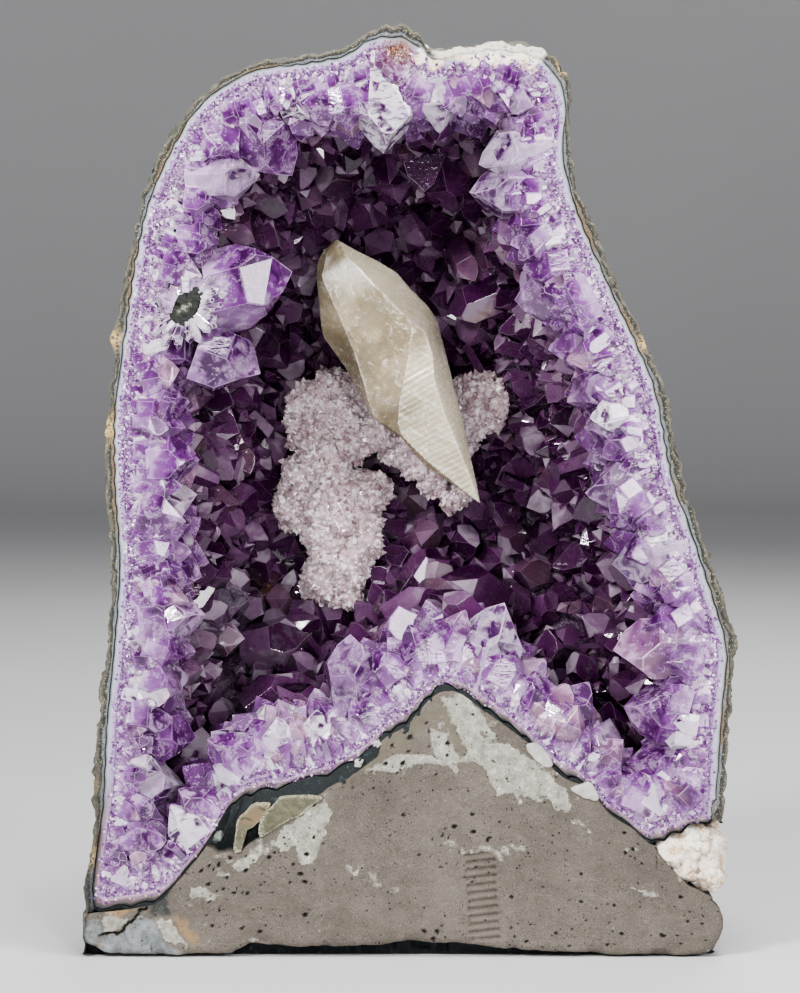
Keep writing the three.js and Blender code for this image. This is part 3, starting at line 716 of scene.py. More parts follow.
def agate_finish():
    """Waxy agate: bluish grey to lilac inwards, with a dark line on its outside that comes and goes;
    brown and mauve on the hill; a cream crust at the top."""
    f = Finish("waxy_agate")
    across, hill = f.paint("across"), f.paint("hill")
    cloud, fine = f.noise(9, 4, 0.6), f.noise(1.2, 3, 0.7)
    bands = across + (cloud - 0.5) * 0.35
    pale = f.ramp(bands, (0.0, (0.085, 0.085, 0.078)), (0.14, (0.20, 0.215, 0.235)),
                  (0.34, (0.33, 0.325, 0.40)), (0.62, (0.33, 0.255, 0.41)), (1.0, (0.27, 0.170, 0.335)))
    brown = f.ramp(bands, (0.08, (0.010, 0.011, 0.013)), (0.32, (0.040, 0.028, 0.028)),
                   (0.52, (0.125, 0.075, 0.082)), (0.72, (0.22, 0.135, 0.18)), (1.0, (0.35, 0.23, 0.37)))
    colour = f.mix((hill + (f.noise(30, 2) - 0.5) * 0.5).between(0.35, 0.75), pale, brown)
    crust = f.mix(fine, (0.50, 0.44, 0.38), (0.86, 0.82, 0.77))
    colour = f.mix(f.paint("cream"), colour, crust)
    rust = f.paint("rust") * (cloud * 0.5 + fine * 0.5).between(0.36, 0.46)
    colour = f.mix(rust, colour, (0.13, 0.052, 0.020))
    shine = 0.22 + cloud * 0.15 + f.paint("cream") * 0.4
    return f.done({"Base Color": colour, "Roughness": shine, "Normal": f.bump(fine, 0.25, 0.3)},
                  IOR=1.54)


def nodule_finish():
    """Lumps in the seam: white quartz, or greenish grey and glassy."""
    f = Finish("seam_nodules")
    cloud, fine = f.noise(3, 4, 0.6), f.noise(0.8, 3)
    white = f.mix(cloud, (0.22, 0.20, 0.18), (0.78, 0.75, 0.72))
    green = f.mix(cloud.between(0.4, 0.6), (0.05, 0.075, 0.07), (0.33, 0.38, 0.33))
    return f.done({"Base Color": f.mix(f.paint("tint"), white, green), "Roughness": 0.2 + fine * 0.3,
                   "Normal": f.bump(fine + cloud, 0.4, 0.5)}, Transmission_Weight=0.2, IOR=1.54)


def amethyst_finish(name, transmission, roughness):
    """Amethyst points: white to lilac at the foot, purple clouds below the tip, clearer edges, and a
    painted highlight on the bevels round each face. deep is 1 for the dark glassy points inside. Each
    face's chance value "shade" paints it paler or darker: painted highlight and painted shade in place
    of facets that catch or miss the light; on the points inside it sets most of a face's tone."""
    f = Finish(name)
    rise, tint, deep, edge, shade, frost = (
        f.paint(key) for key in ("rise", "tint", "deep", "edge", "shade", "frost"))
    cloud, blot = f.noise(13, 2, 0.5, 0.5), f.noise(5.5, 2, 0.5, 0.8)
    fine = f.noise(1.0, 1, 0.7)
    zone = rise + (cloud - 0.5) * 1.5 + (blot - 0.5) * 0.45 + (tint - 0.5) * 0.4
    rim = f.ramp(zone, (-0.08, (0.47, 0.285, 0.54)), (0.12, (0.265, 0.104, 0.325)),
                 (0.36, (0.195, 0.053, 0.250)), (0.62, (0.100, 0.016, 0.128)),
                 (0.84, (0.195, 0.054, 0.238)), (1.0, (0.46, 0.250, 0.51)))
    core = edge * (blot * 0.6 + cloud * 0.4).between(0.47, 0.60) * zone.between(0.26, 0.60)
    rim = f.mix(core * 0.85, rim, (0.040, 0.006, 0.055))
    # painted highlight: the bevels round each face, where edge is below 1, are painted paler in patches
    rim = f.mix((1 - edge) * blot.between(0.46, 0.62) * 0.16, rim, (0.80, 0.68, 0.84))
    # painted highlight and painted shade: faces with a high chance value "shade" are painted paler, low
    # ones darker, as facets that catch or miss the light
    rim = f.mix(shade.between(0.74, 1.0) * 0.24, rim, (0.68, 0.55, 0.71))
    rim = f.mix(shade.between(0.40, 0.0) * 0.45, rim, (0.085, 0.020, 0.105))
    # painted highlight and painted shade: a face's tone here comes mostly from its chance value "shade",
    # from near black to pale grey-lilac, as glassy facets that catch or miss the light
    inner = f.ramp(shade * 0.62 + zone * 0.2 + blot * 0.2,
                   (0.22, (0.015, 0.002, 0.016)), (0.42, (0.070, 0.009, 0.069)),
                   (0.60, (0.155, 0.043, 0.151)), (0.76, (0.29, 0.150, 0.285)), (0.88, (0.62, 0.50, 0.62)))
    # painted highlight: the bevels round each face of the points inside are painted paler
    inner = f.mix((1 - edge) * 0.10, inner, (0.36, 0.25, 0.38))
    colour = f.mix(deep, rim, inner)
    veil = (blot * 0.6 + fine * 0.4).between(0.50, 0.40) * (1 - deep * 0.75)
    colour = f.mix(veil * 0.22, colour, (0.90, 0.80, 0.92))
    blush = tint.between(0.84, 0.94) * zone.between(0.5, 0.9) * (1 - deep * 0.5)
    colour = f.mix(blush * 0.35, colour, (0.60, 0.38, 0.42))
    striae = f.noise(1.5, 2, 0.6, 0.0, f.stretched(f.place, (0.35, 0.35, 1.0)))
    hollows = striae.between(0.50, 0.62) * frost.between(0.75, 0.95)
    frosted = f.mix(hollows, (0.86, 0.81, 0.88), (0.34, 0.28, 0.38))
    colour = f.mix(frost * (1 - core) * (0.55 + cloud * 0.7), colour, frosted)
    colour = f.mix(f.paint("iron") * fine.between(0.45, 0.55), colour, (0.60, 0.31, 0.06))
    rust = f.paint("rust") * (blot * 0.5 + fine * 0.5).between(0.40, 0.50)
    colour = f.mix(rust, colour, (0.16, 0.062, 0.022))
    shine = veil * 0.12 + (1 - edge) * 0.5 + roughness
    return f.done({"Base Color": colour, "Roughness": shine, "Normal": f.bump(striae * 0.7, 0.12, 0.5)},
                  Transmission_Weight=transmission, IOR=1.544)


def bed_finish():
    """The massive quartz under the points: sugary white, lilac and purple grains at the rim, dark
    purple inside."""
    f = Finish("sugary_amethyst")
    middle, fine = f.noise(6, 4, 0.65), f.noise(1.0, 3, 0.7)
    grain = f.node("ShaderNodeSeparateColor", {}, {0: f.cells(1.1, output="Color")})
    rim = f.ramp(middle * 0.55 + grain * 0.45, (0.30, (0.10, 0.028, 0.11)), (0.42, (0.24, 0.115, 0.27)),
                 (0.54, (0.40, 0.27, 0.43)), (0.72, (0.78, 0.70, 0.80)))
    rim = f.mix(f.paint("outer") * 0.85, rim, f.mix(middle, (0.175, 0.085, 0.230), (0.33, 0.205, 0.41)))
    colour = f.mix(f.paint("deep"), rim, (0.055, 0.022, 0.060))
    colour = f.mix(f.paint("rust") * fine.between(0.42, 0.52), colour, (0.30, 0.12, 0.045))
    return f.done({"Base Color": colour, "Roughness": 0.26 + fine * 0.25,
                   "Normal": f.bump(f.cells(1.1) + fine * 0.6, 0.7, 0.6)}, IOR=1.54)


def grain_finish():
    """Sugary little crystals of the outer zone."""
    f = Finish("lilac_grains")
    tint, patch = f.paint("tint"), f.noise(7, 3, 0.6)
    colour = f.ramp(tint * 0.6 + patch * 0.55, (0.26, (0.080, 0.018, 0.105)), (0.46, (0.165, 0.060, 0.205)),
                    (0.70, (0.29, 0.150, 0.34)), (0.94, (0.86, 0.76, 0.88)))
    colour = f.mix(f.paint("rust"), colour, f.mix(tint, (0.13, 0.05, 0.02), (0.34, 0.16, 0.07)))
    return f.done({"Base Color": colour, "Roughness": 0.12 + tint * 0.2}, IOR=1.544)


def quartz_finish():
    """White quartz druse: sugary, faintly pink and grey, glittering."""
    f = Finish("white_druse")
    tint, patch = f.paint("tint"), f.noise(12, 3)
    colour = f.ramp(tint * 0.55 + patch * 0.45, (0.22, (0.38, 0.26, 0.29)), (0.42, (0.73, 0.555, 0.595)),
                    (0.60, (0.94, 0.80, 0.825)), (0.80, (0.98, 0.91, 0.925)))
    return f.done({"Base Color": colour, "Roughness": 0.05 + tint * 0.2}, Transmission_Weight=0.2,
                  IOR=1.544)


def calcite_finish():
    """Cloudy calcite: pale yellowish grey, grey smudges, pale lines along the ridges, and fine
    striae across the lower half. The striated face and the right face are painted paler, a painted
    highlight for the way the light falls on them, and the left face darker as painted shade."""
    f = Finish("cloudy_calcite")
    cloud, blot, fine = f.noise(20, 3, 0.55, 0.6), f.noise(6, 4, 0.65, 1.0), f.noise(0.9, 3, 0.7)
    colour = f.ramp(cloud * 0.6 + blot * 0.4, (0.37, (0.235, 0.188, 0.120)), (0.5, (0.365, 0.295, 0.190)),
                    (0.63, (0.62, 0.525, 0.375)))
    # painted highlight: the striated lower face and the right face are painted paler, as if lit
    colour = f.mix(f.paint("lower") * 0.5 + f.paint("right") * 0.5, colour, (0.95, 0.86, 0.68))
    # painted shade: the left face, "side", is painted darker
    colour = f.mix(f.paint("side") * 0.8, colour, (0.33, 0.275, 0.185))
    smudge = f.paint("smudge") * (blot * 0.6 + cloud * 0.4).between(0.40, 0.60)
    colour = f.mix(smudge * 0.85, colour, (0.20, 0.185, 0.135))
    striae = f.noise(1.7, 3, 0.6, 0.3, f.stretched(f.turned(-0.52), (0.16, 0.16, 1.0)))
    lower = f.paint("lower")
    colour = f.mix(striae.between(0.54, 0.64) * lower * 0.65, colour, (0.98, 0.95, 0.86))
    colour = f.mix(striae.between(0.40, 0.32) * lower * 0.35, colour, (0.45, 0.40, 0.29))
    crack = (f.noise(13, 3, 0.6, 1.6) - 0.5)
    crack = (crack * crack).between(0.00035, 0.0) * blot.between(0.44, 0.56)
    colour = f.mix(crack * 0.45, colour, (0.98, 0.97, 0.90))
    line = f.paint("ridge") * (f.noise(3.5, 4, 0.75) * 0.7 + fine * 0.3).between(0.46, 0.56)
    colour = f.mix(line * 0.6, colour, (0.96, 0.94, 0.88))
    speck = f.noise(2.2, 2).between(0.70, 0.76) * 0.6
    colour = f.mix(speck, colour, (0.22, 0.20, 0.15))
    height = striae * lower * 0.9 + blot * 0.35 + fine * 0.12 + crack * 0.3
    return f.done({"Base Color": colour, "Roughness": 0.13 + blot * 0.18 + fine * 0.08,
                   "Normal": f.bump(height, 0.22, 0.8)},
                  Transmission_Weight=0.2, IOR=1.60,
                  Subsurface_Weight=0.45, Subsurface_Radius=(1.0, 0.9, 0.7), Subsurface_Scale=0.008)


def cream_finish():
    """Lumpy cream calcite: white and cream, pinkish tan and darker in its hollows, as stain and painted
    shade, one brown spot.
    """
    f = Finish("cream_calcite")
    lump, fine = f.noise(6, 4, 0.6), f.noise(1.1, 3, 0.7)
    # stain and painted shade: the ramp's low end falls in the bump's hollows, pinkish tan and darker there
    colour = f.ramp(lump * 0.6 + fine * 0.4, (0.38, (0.50, 0.31, 0.19)), (0.47, (0.84, 0.70, 0.56)),
                    (0.58, (0.96, 0.91, 0.84)))
    rust = f.noise(11, 4, 0.7).between(0.62, 0.70)
    colour = f.mix(rust * 0.6, colour, (0.33, 0.17, 0.08))
    return f.done({"Base Color": colour, "Roughness": 0.45 + fine * 0.35,
                   "Normal": f.bump(fine + lump, 0.6, 0.8)})


def eye_finish():
    """Green-black mineral with a pale grey-green heart."""
    f = Finish("green_black")
    lump, fine = f.noise(3.0, 4, 0.6), f.noise(0.6, 3, 0.7)
    colour = f.ramp(f.paint("heart") * 0.5 + (f.noise(1.9, 4, 0.7) - 0.5) * 1.5 + (fine - 0.5) * 0.6,
                    (0.18, (0.008, 0.010, 0.007)), (0.42, (0.030, 0.034, 0.024)),
                    (0.62, (0.26, 0.28, 0.22)))
    return f.done({"Base Color": colour, "Roughness": 0.5 + fine * 0.3,
                   "Normal": f.bump(fine + lump, 0.6, 0.5)})


def olive_finish():
    """Dull olive stone, streaked and tan in places, with pale rough rims."""
    f = Finish("olive_stone")
    streak, fine = f.noise(6, 4, 0.6, 1.2), f.noise(0.8, 3, 0.75)
    colour = f.ramp(streak * 0.6 + fine * 0.4, (0.36, (0.048, 0.048, 0.028)), (0.5, (0.090, 0.087, 0.052)),
                    (0.64, (0.150, 0.142, 0.092)))
    colour = f.mix(f.paint("tan") * streak.between(0.30, 0.50), colour, (0.180, 0.122, 0.070))
    colour = f.mix(f.paint("rim") * fine.between(0.42, 0.54) * 0.8, colour, (0.40, 0.375, 0.29))
    return f.done({"Base Color": colour, "Roughness": 0.62 + fine * 0.3,
                   "Normal": f.bump(fine + streak, 0.5, 0.5)})


# ---- the basalt ----
TURNS = np.linspace(0, TURN, 900, endpoint=False)[None]  # columns of the pieces that go round the mouth
FOOT_DEPTH = 40.0  # how far the sawn foot runs back inside the rind
BREAK_LINE = np.array([(107, 47), (113, 39), (121, 31), (131, 26), (160, 24)], float)  # below the corner
BREAK_DEPTH = 36.0
BREAK_TURNS = [math.atan2(z - CENTRE[1], x - CENTRE[0]) for x, z in ((107, 47), (141, 52))]
SEAM = [(-88, 50), (-83, 46), (-74, 47), (-70, 50), (-64, 53), (-56, 60), (-46, 66), (-36, 73.5), (-24, 80),
        (-14, 88), (-12, 95), (-19, 90), (-34, 82), (-51, 77), (-76, 69)]  # the open seam, as (x, z)
SEAM_DEPTH = 9.0
GOLD_SPOTS = [  # x, z and width
    (-127, 268, 4), (-131, 230, 6), (-140, 45, 5), (-139, 75, 3.5), (101, 266, 3), (66, 384, 3),
]


def swollen(p, tilt):
    """Low knobs on the back: a point moves towards the middle of the mouth by up to 6%."""
    x, y, z = np.moveaxis(p, -1, 0)
    swell = (0.5 + 0.25 * np.sin(x / 17 + 1.3) * np.sin(y / 13 + 0.7) * np.sin(z / 19)
             + 0.25 * np.sin(x / 31 + 2) * np.sin(z / 23 + y / 29 + 1))
    anchor = np.array([CENTRE[0], FRONT, CENTRE[1]])
    return anchor + (p - anchor) * (1 - 0.06 * swell * np.sin(2 * tilt))[..., None]


def rind(finish):
    """The basalt's skin round the geode. Its outside is the outline's bowl, moved along its normals
    by lumps and pits; points below the floor are lifted on to it. The rim turns in at the sawn
    face, and the inside is the geode's own bowl."""
    tilts = (math.pi / 2 * np.linspace(0, 0.995, 82) ** 1.35)[:, None]
    outer = swollen(bowl(outer_loop, 0, DEPTH, TURNS, tilts), tilts)
    normal = grid_normals(outer, wrap=True)
    normal *= np.sign((normal * (outer - [CENTRE[0], FRONT, CENTRE[1]])).sum(axis=-1, keepdims=True))
    knobs = 2.6 * rough(outer, 24, 3) + 1.9 * rough(outer, 9, 3, seed=5)
    knobs = knobs + 2.6 * rough(outer, 3.4, 3, seed=9)
    holes = ease(noise(outer, 5.5, seed=31) * 0.6 + noise(outer, 2.4, seed=32) * 0.4, 0.66, 0.76)
    front = 1 - ease(outer[..., 1] - FRONT, 0, 8)
    push = (knobs - 1.1 - 1.0 * holes)[..., None] * normal
    push[..., 1] *= 1 - front
    outer = outer + push
    lip = around(TURNS, agate_loop.radius(TURNS, 0.15), 0.0)
    in_turn = (TURNS + math.pi) % TURN - math.pi
    broken = (in_turn > BREAK_TURNS[0]) & (in_turn < BREAK_TURNS[1]) & (outer[..., 1] < FRONT + BREAK_DEPTH)
    outer = np.where(broken[..., None] & [True, False, True], lip, outer)
    corner = np.interp(outer[..., 2], [0, 2, 7, 12, 17, 30], [127, 130, 133, 134.5, 135.5, 160])
    slack = np.maximum(outer[..., 1] - FRONT - 4, 0)
    outer[..., 0] = np.minimum(outer[..., 0], corner + 0.5 * slack)
    below_hill = lambda p: ease(hill_height(p[..., 0]) - p[..., 2], 0, 1.5)
    hidden = (below_hill(outer) > 0.5) & (outer[..., 2] < 1)
    beside_break = (in_turn > BREAK_TURNS[0] - 0.04) & (in_turn < BREAK_TURNS[0] + 0.15)
    outer[..., 1] = np.maximum(outer[..., 1], STONE_FACE + np.maximum(11 * hidden, 5 * beside_break))
    shares = np.array([0.06, 0.3, 0.55, 0.8, 1.0])[:, None, None]
    rim = outer[:1] + (lip - outer[:1]) * shares
    rim[..., 1] = STONE_FACE - 0.35 + 0.9 * rough(rim, 3.2, 3) + below_hill(rim) * 11
    tilts_in = (math.pi / 2 * np.linspace(0.06, 0.995, 12))[:, None]
    inner = bowl(geode_loop, -0.1, GEODE_DEPTH, TURNS, tilts_in)
    rows = np.concatenate([outer[::-1], rim, inner])
    rows[..., 2] = np.maximum(rows[..., 2], 0)
    under_foot = ease(rows[..., 2], 13, 9) * (rows[..., 0] < 128)
    points, faces = tube(rows, [CENTRE[0], outer[-1, :, 1].mean() + 0.2, CENTRE[1]],
                         [CENTRE[0], FRONT + GEODE_DEPTH, CENTRE[1]])
    pit, band, hill = np.zeros((3, *rows.shape[:2]))
    on_outside, on_rim = slice(len(outer)), slice(len(outer), len(outer) + len(rim))
    pit[on_outside] = holes[::-1]
    band[on_rim] = np.array([0.1, 0.35, 0.6, 0.85, 1.0])[:, None]
    band[on_rim.stop:] = 1
    band *= 1 - under_foot
    # painted shadow: the low front of the outside, under the foot's chipped edge, is marked for the
    # finish's teal-black
    hill[on_outside] = ease(outer[::-1, :, 2], 9, 5) * (outer[::-1, :, 1] < FRONT + 26)
    # on the rim, where the rind lies behind the foot: dark rock, also darkened as painted shadow
    hill[on_rim] = ease(outer_loop.radius(TURNS) - geode_loop.radius(TURNS), 5.5, 9)
    cream = ease(inside(CREAM_CRUST, points[:, 0], points[:, 2]) + 2 * rough(points, 5, 3), -0.5, 1)
    gold = sum(near(points, x, z, width) for x, z, width in GOLD_SPOTS) * (points[:, 1] < FRONT + 12)
    add_piece("basalt_rind", points, faces, finish, ["basalt_rock"], smooth=True,
              paint={"pit": np.append(pit.ravel(), [0, 0]), "band": np.append(band.ravel(), [0, 1]),
                     "gold": gold, "hill": np.append(hill.ravel(), [0, 0]),
                     "cream": cream * (points[:, 1] < FRONT + 9)})


# Stone of other colours on the sawn foot, as outlines (x, z).
PALE_STONE = [
    [(11.6, 111.4), (22.8, 116), (39, 97), (59.8, 80), (70, 71), (69, 62.8), (63, 64.5), (58.5, 71.4),
     (47.7, 69), (38.3, 71), (34.8, 80.4), (28.8, 84.7), (22.8, 84), (18.5, 88), (15, 97.6)],
    [(-29, 85), (-16, 88), (2, 89), (20, 86), (23, 83.5), (6, 84), (-8, 81), (-20, 81.5), (-33, 79)],
    [(-49, 62), (-41, 69), (-35, 72), (-34, 61), (-38, 52), (-42, 40), (-46.5, 41), (-48, 47), (-58, 47),
     (-57, 52)],
    [(-95.3, 31), (-82, 28), (-86.4, 23.4), (-95.3, 22.8)],
    [(8, 101), (13, 98), (19, 88), (24, 85), (21, 81), (12, 88)],
    [(-76, 42), (-62, 46), (-66, 41), (-74, 38)],
    [(94, 31), (104, 27), (112, 24.5), (104, 29)],
]
CREAM_STONE = [
    [(-110, 16.8), (-104, 16), (-94.6, 5.6), (-104, 6.5), (-108, 9.5)],
    [(-133, 20.5), (-125.6, 20.5), (-120.4, 16.8), (-124, 13.8), (-132.3, 9.3), (-133.7, 16)],
]
OCHRE_STONE = [
    [(-102.8, 16), (-96.8, 15.3), (-89.4, 7.9), (-93, 4.9), (-98.3, 11.6)],
    [(-132.4, 23), (-117, 23.5), (-115, 21), (-124.3, 19.6), (-132.4, 18.9)],
]
BLUE_STONE = [
    [(-133.7, 8.6), (-125.6, 10.8), (-116.5, 17.6), (-110, 16.8), (-105.7, 7), (-98.3, 2.7), (-98, -3),
     (-134, -3)],
    [(-143, 16), (-135.3, 16.8), (-133, 13), (-134.2, 7.9), (-139, 3), (-143, 9)],
]
TEAL_STONE = [[(-111.6, 25), (-102.8, 29), (-103.6, 17.6), (-110.5, 18.5)]]
TAUPE_STONE = [
    [(-31, 79), (-14, 93), (2, 105), (14, 113), (14, 107), (2, 96), (-8, 88), (-22, 80), (-30, 75)],
    [(13, 109), (16, 109), (24, 88), (22, 86), (17, 94)],
]
CRACK = np.array([(-134, 9.4), (-125.6, 11.6), (-121, 15), (-116.7, 18.2), (-111.6, 23.4)])


def foot(finish):
    """The sawn foot. Its face is a grid between the chipped lower edge and the hill, pushed in by
    pores, the saw's comb of ridges and the open seam; its border runs back into the rind."""
    columns, rows, depth_rows = 440, 172, 8
    u = np.linspace(0, 1, columns)[None]
    v = np.linspace(0, 1, rows)[:, None]
    left = np.interp(v * 19, [0, 5, 24], [-140.4, -141.3, -141.3])
    right = np.interp(v * 26, [0, 2, 7, 12, 17, 21, 24, 26],
                      [127.5, 131, 134.3, 136, 136, 134.6, 131.5, 131.5])
    x = left + (right - left) * u
    top = hill_height(x) - 0.1
    top = np.where(x > BREAK_LINE[0, 0], np.interp(x, BREAK_LINE[:, 0], BREAK_LINE[:, 1]), top)
    line = np.stack([x, np.zeros_like(x), np.zeros_like(x)], axis=-1)
    chipped = np.interp(x, [-141, -136, -132, -127, -100, -77, -69, -61, -48, -11, -4, 20, 42, 77, 90],
                        [5.6, 4.6, 1.6, 0.9, 0.8, 1.4, 6.0, 5.2, 4.2, 4.8, 6.0, 6.0, 3.2, 1.4, 0.7])
    bottom = chipped + 1.5 * np.abs(rough(line, 13, 4, seed=3)) + 0.2
    z = bottom + (top - bottom) * v
    p = np.stack([x, np.full_like(x, STONE_FACE), z], axis=-1)
    warp_x, warp_z = x + 4.5 * rough(p, 6, 5, seed=24), z + 4.5 * rough(p, 6, 5, seed=25)
    patch = lambda outlines: np.max([ease(inside(o, warp_x, warp_z), -1.2, 1.2) for o in outlines], axis=0)

    pick = np.random.default_rng(12)
    spots = np.stack([pick.uniform(-95, 133, 1300), pick.uniform(3, 112, 1300)], axis=1)
    crowd = noise(np.stack([spots[:, 0], 0 * spots[:, 0], spots[:, 1]], axis=1), 26, seed=8)
    spots = spots[crowd > pick.uniform(0.30, 0.85, 1300)][:230]
    size = 0.42 + 0.5 * pick.random(len(spots)) ** 2
    long = pick.uniform(1, 1.5, len(spots))
    aim = pick.normal(0.1, 0.5, len(spots))
    pores = np.zeros_like(x)
    for spot, s, l, a in zip(spots, size, long, aim):
        close = (np.abs(x - spot[0]) < 4) & (np.abs(z - spot[1]) < 4)
        dx, dz = x[close] - spot[0], z[close] - spot[1]
        along, across = dx * math.cos(a) + dz * math.sin(a), dz * math.cos(a) - dx * math.sin(a)
        ball = np.sqrt(np.maximum(0, 1 - (along / (s * l)) ** 2 - (across / s) ** 2))
        pores[close] = np.maximum(pores[close], ball * min(1.6, 1.6 * s))

    seam_in = inside(SEAM, x + 1.6 * rough(p, 7, 3, seed=21), z + 1.6 * rough(p, 7, 3, seed=22))
    seam = ease(seam_in, -0.8, 0.9)
    crack = ease(-inside(np.vstack([CRACK, CRACK[::-1] + [0, 0.01]]), warp_x, warp_z), 0.9, 0.3)
    off_comb = np.abs(x - 31.5 + 0.05 * (z - 30))
    comb = (off_comb < 6.5 + rough(p, 5, 2)) * ease(z, 6, 9) * (1 - ease(z, 44, 48))
    wave = np.cos((z - 8 - 0.12 * (x - 32)) / 3.4 * TURN)
    ridges = comb * 1.5 * (0.5 + 0.5 * wave) ** 2
    coarse, medium = noise(p * [1, 1, 1.7], 20, seed=41), noise(p * [1, 1, 2.2], 8, seed=42)
    drift = coarse * 0.45 + medium * 0.33 + noise(p, 2.6, seed=43) * 0.22
    upper = np.exp(-np.maximum(top - z, 0) / 22) * (np.abs(x + 12) < 75)
    scattered = ease(drift + 0.16 * upper, 0.62, 0.76) * 0.55
    pale = np.maximum(patch(PALE_STONE) * ease(drift, 0.20, 0.40), scattered)
    pale = np.maximum(pale, patch(CREAM_STONE) * 0.75)
    blue, ochre, teal, taupe = (patch(o) for o in (BLUE_STONE, OCHRE_STONE, TEAL_STONE, TAUPE_STONE))
    pale *= (1 - blue) * (1 - taupe * 0.9)
    chunk = ease(inside(BLUE_STONE[1], x, z), -0.5, 0.5)

    surface = 0.55 * rough(p, 14, 4, seed=2) + 0.35 * rough(p, 2.4, 2, seed=4)
    surface = surface + blue * 1.6 * rough(p, 6, 3, seed=6) + chunk * 3.0 * np.abs(rough(p, 7, 2, seed=17))
    fall = lambda distance, width: np.exp(-np.maximum(distance, 0) / width)
    round_edge = 1.4 * fall(z - bottom, 1.2) + 1.8 * fall(right - x, 2.2) + 1.2 * fall(x - left, 1.5)
    chips = 2.6 * ease(noise(p, 9, seed=71), 0.60, 0.8) * fall(z - bottom, 3.0)
    push = surface + pores + ridges + seam * (SEAM_DEPTH + 0.8 * rough(p, 4, 3, seed=7))
    push = push - pale * 0.3 + round_edge + chips + crack * 1.6
    p[..., 1] += push
    border = np.concatenate([
        np.arange(columns), np.arange(1, rows) * columns + columns - 1,
        (rows - 1) * columns + np.arange(columns - 2, -1, -1), np.arange(rows - 2, 0, -1) * columns])
    loop = p.reshape(-1, 3)[border]
    middle = np.array([10.0, 0, 30.0])
    deeper = np.linspace(0, 1, depth_rows + 1)[1:, None]
    walls = np.zeros((depth_rows, len(border), 3))
    walls[..., 0] = loop[:, 0] + (middle[0] - loop[:, 0]) * 0.024 * deeper**2
    walls[..., 1] = loop[:, 1] * (1 - deeper) + (STONE_FACE + FOOT_DEPTH) * deeper
    uneven = loop[:, 2] + 0.9 * rough(walls, 5, 3, seed=13)
    walls[..., 2] = np.where(loop[:, 2] > 9, uneven, loop[:, 2] * (1 - 0.9 * deeper))
    points = np.vstack([p.reshape(-1, 3), walls.reshape(-1, 3), [middle + [0, STONE_FACE + FOOT_DEPTH, 0]]])
    start, c = rows * columns, np.arange(len(border))
    first = np.stack([border, np.roll(border, -1), start + (c + 1) % len(border), start + c], axis=1)
    last = start + (depth_rows - 1) * len(border)
    fan = np.stack([last + c, last + (c + 1) % len(border), np.full(len(border), len(points) - 1)], axis=1)
    faces = [first, grid_faces(depth_rows, len(border), True, start), fan,
             grid_faces(rows, columns)[:, ::-1]]
    spread = lambda values: np.append(values.ravel(), np.zeros(len(points) - start))
    paint = {"pit": ease(pores, 0.15, 0.5) + crack, "pale": pale, "seam": np.maximum(seam, teal * 0.7),
             "blue": blue, "ochre": ochre, "taupe": taupe * 0.8}
    add_piece("basalt_foot", points, faces, finish, ["basalt_rock"], smooth=True,
              paint={key: spread(np.clip(values, 0, 1)) for key, values in paint.items()})


# ---- agate and the crystals' bed ----
RUST = (-5, 391, 8)  # a rusty patch at the top of the rim: x, z and width
CREAM_CRUST = [  # where the top of the rim is cream, as (x, z)
    (6, 399), (12, 387), (26, 388.5), (40, 390), (57, 386), (60, 394), (40, 402), (20, 402),
]


def agate(finish):
    """A band between two of the geode's bowls, round a flat sawn face with a lobed outside."""
    back = (math.pi / 2 * np.linspace(0.05, 0.995, 16))[:, None]
    outer = bowl(geode_loop, GAP, GEODE_DEPTH - GAP, TURNS, back)
    inner = bowl(geode_loop, AGATE + GAP, GEODE_DEPTH - AGATE - GAP, TURNS, back)
    across = np.array([0, 0.1, 0.25, 0.45, 0.65, 0.85, 1.0])[:, None]
    outside = agate_loop.radius(TURNS, GAP)
    inside_ = geode_loop.radius(TURNS, GAP + AGATE + 0.6)
    face = bowl(geode_loop, 0, GEODE_DEPTH, TURNS, 0 * across)
    r = outside + (inside_ - outside) * across - 0.7 * rough(face, 7, 3, seed=81) * across
    grain = 0.3 * rough(face * [1, 0, 1] + 40 * across[..., None], 5, 2, seed=82)
    lift = 0.35 * (np.abs(across - 0.5) > 0.45) + grain
    face = around(TURNS, r, STONE_FACE + 0.3 + lift)
    rows = np.concatenate([outer[::-1], face, inner])
    points, faces = tube(rows, [CENTRE[0], FRONT + GEODE_DEPTH - GAP, CENTRE[1]],
                         [CENTRE[0], FRONT + GEODE_DEPTH - AGATE - GAP, CENTRE[1]])
    hill = ease(outer_loop.radius(TURNS[0]) - geode_loop.radius(TURNS[0]), 4.5, 9)
    bands = np.concatenate([np.zeros(len(outer)), across[:, 0], np.ones(len(inner))])
    cream = ease(inside(CREAM_CRUST, points[:, 0], points[:, 2]) + 2 * rough(points, 5, 3), -0.5, 1)
    add_piece("agate_band", points, faces, finish, ["agate_lining"], smooth=True,
              paint={"across": np.append(np.repeat(bands, TURNS.size), [0, 1]),
                     "hill": np.append(np.tile(hill, len(bands)), [0, 0]),
                     "cream": cream * (points[:, 1] < FRONT + 9),
                     "rust": near(points, RUST[0] + 2, RUST[1] + 1, 5)})


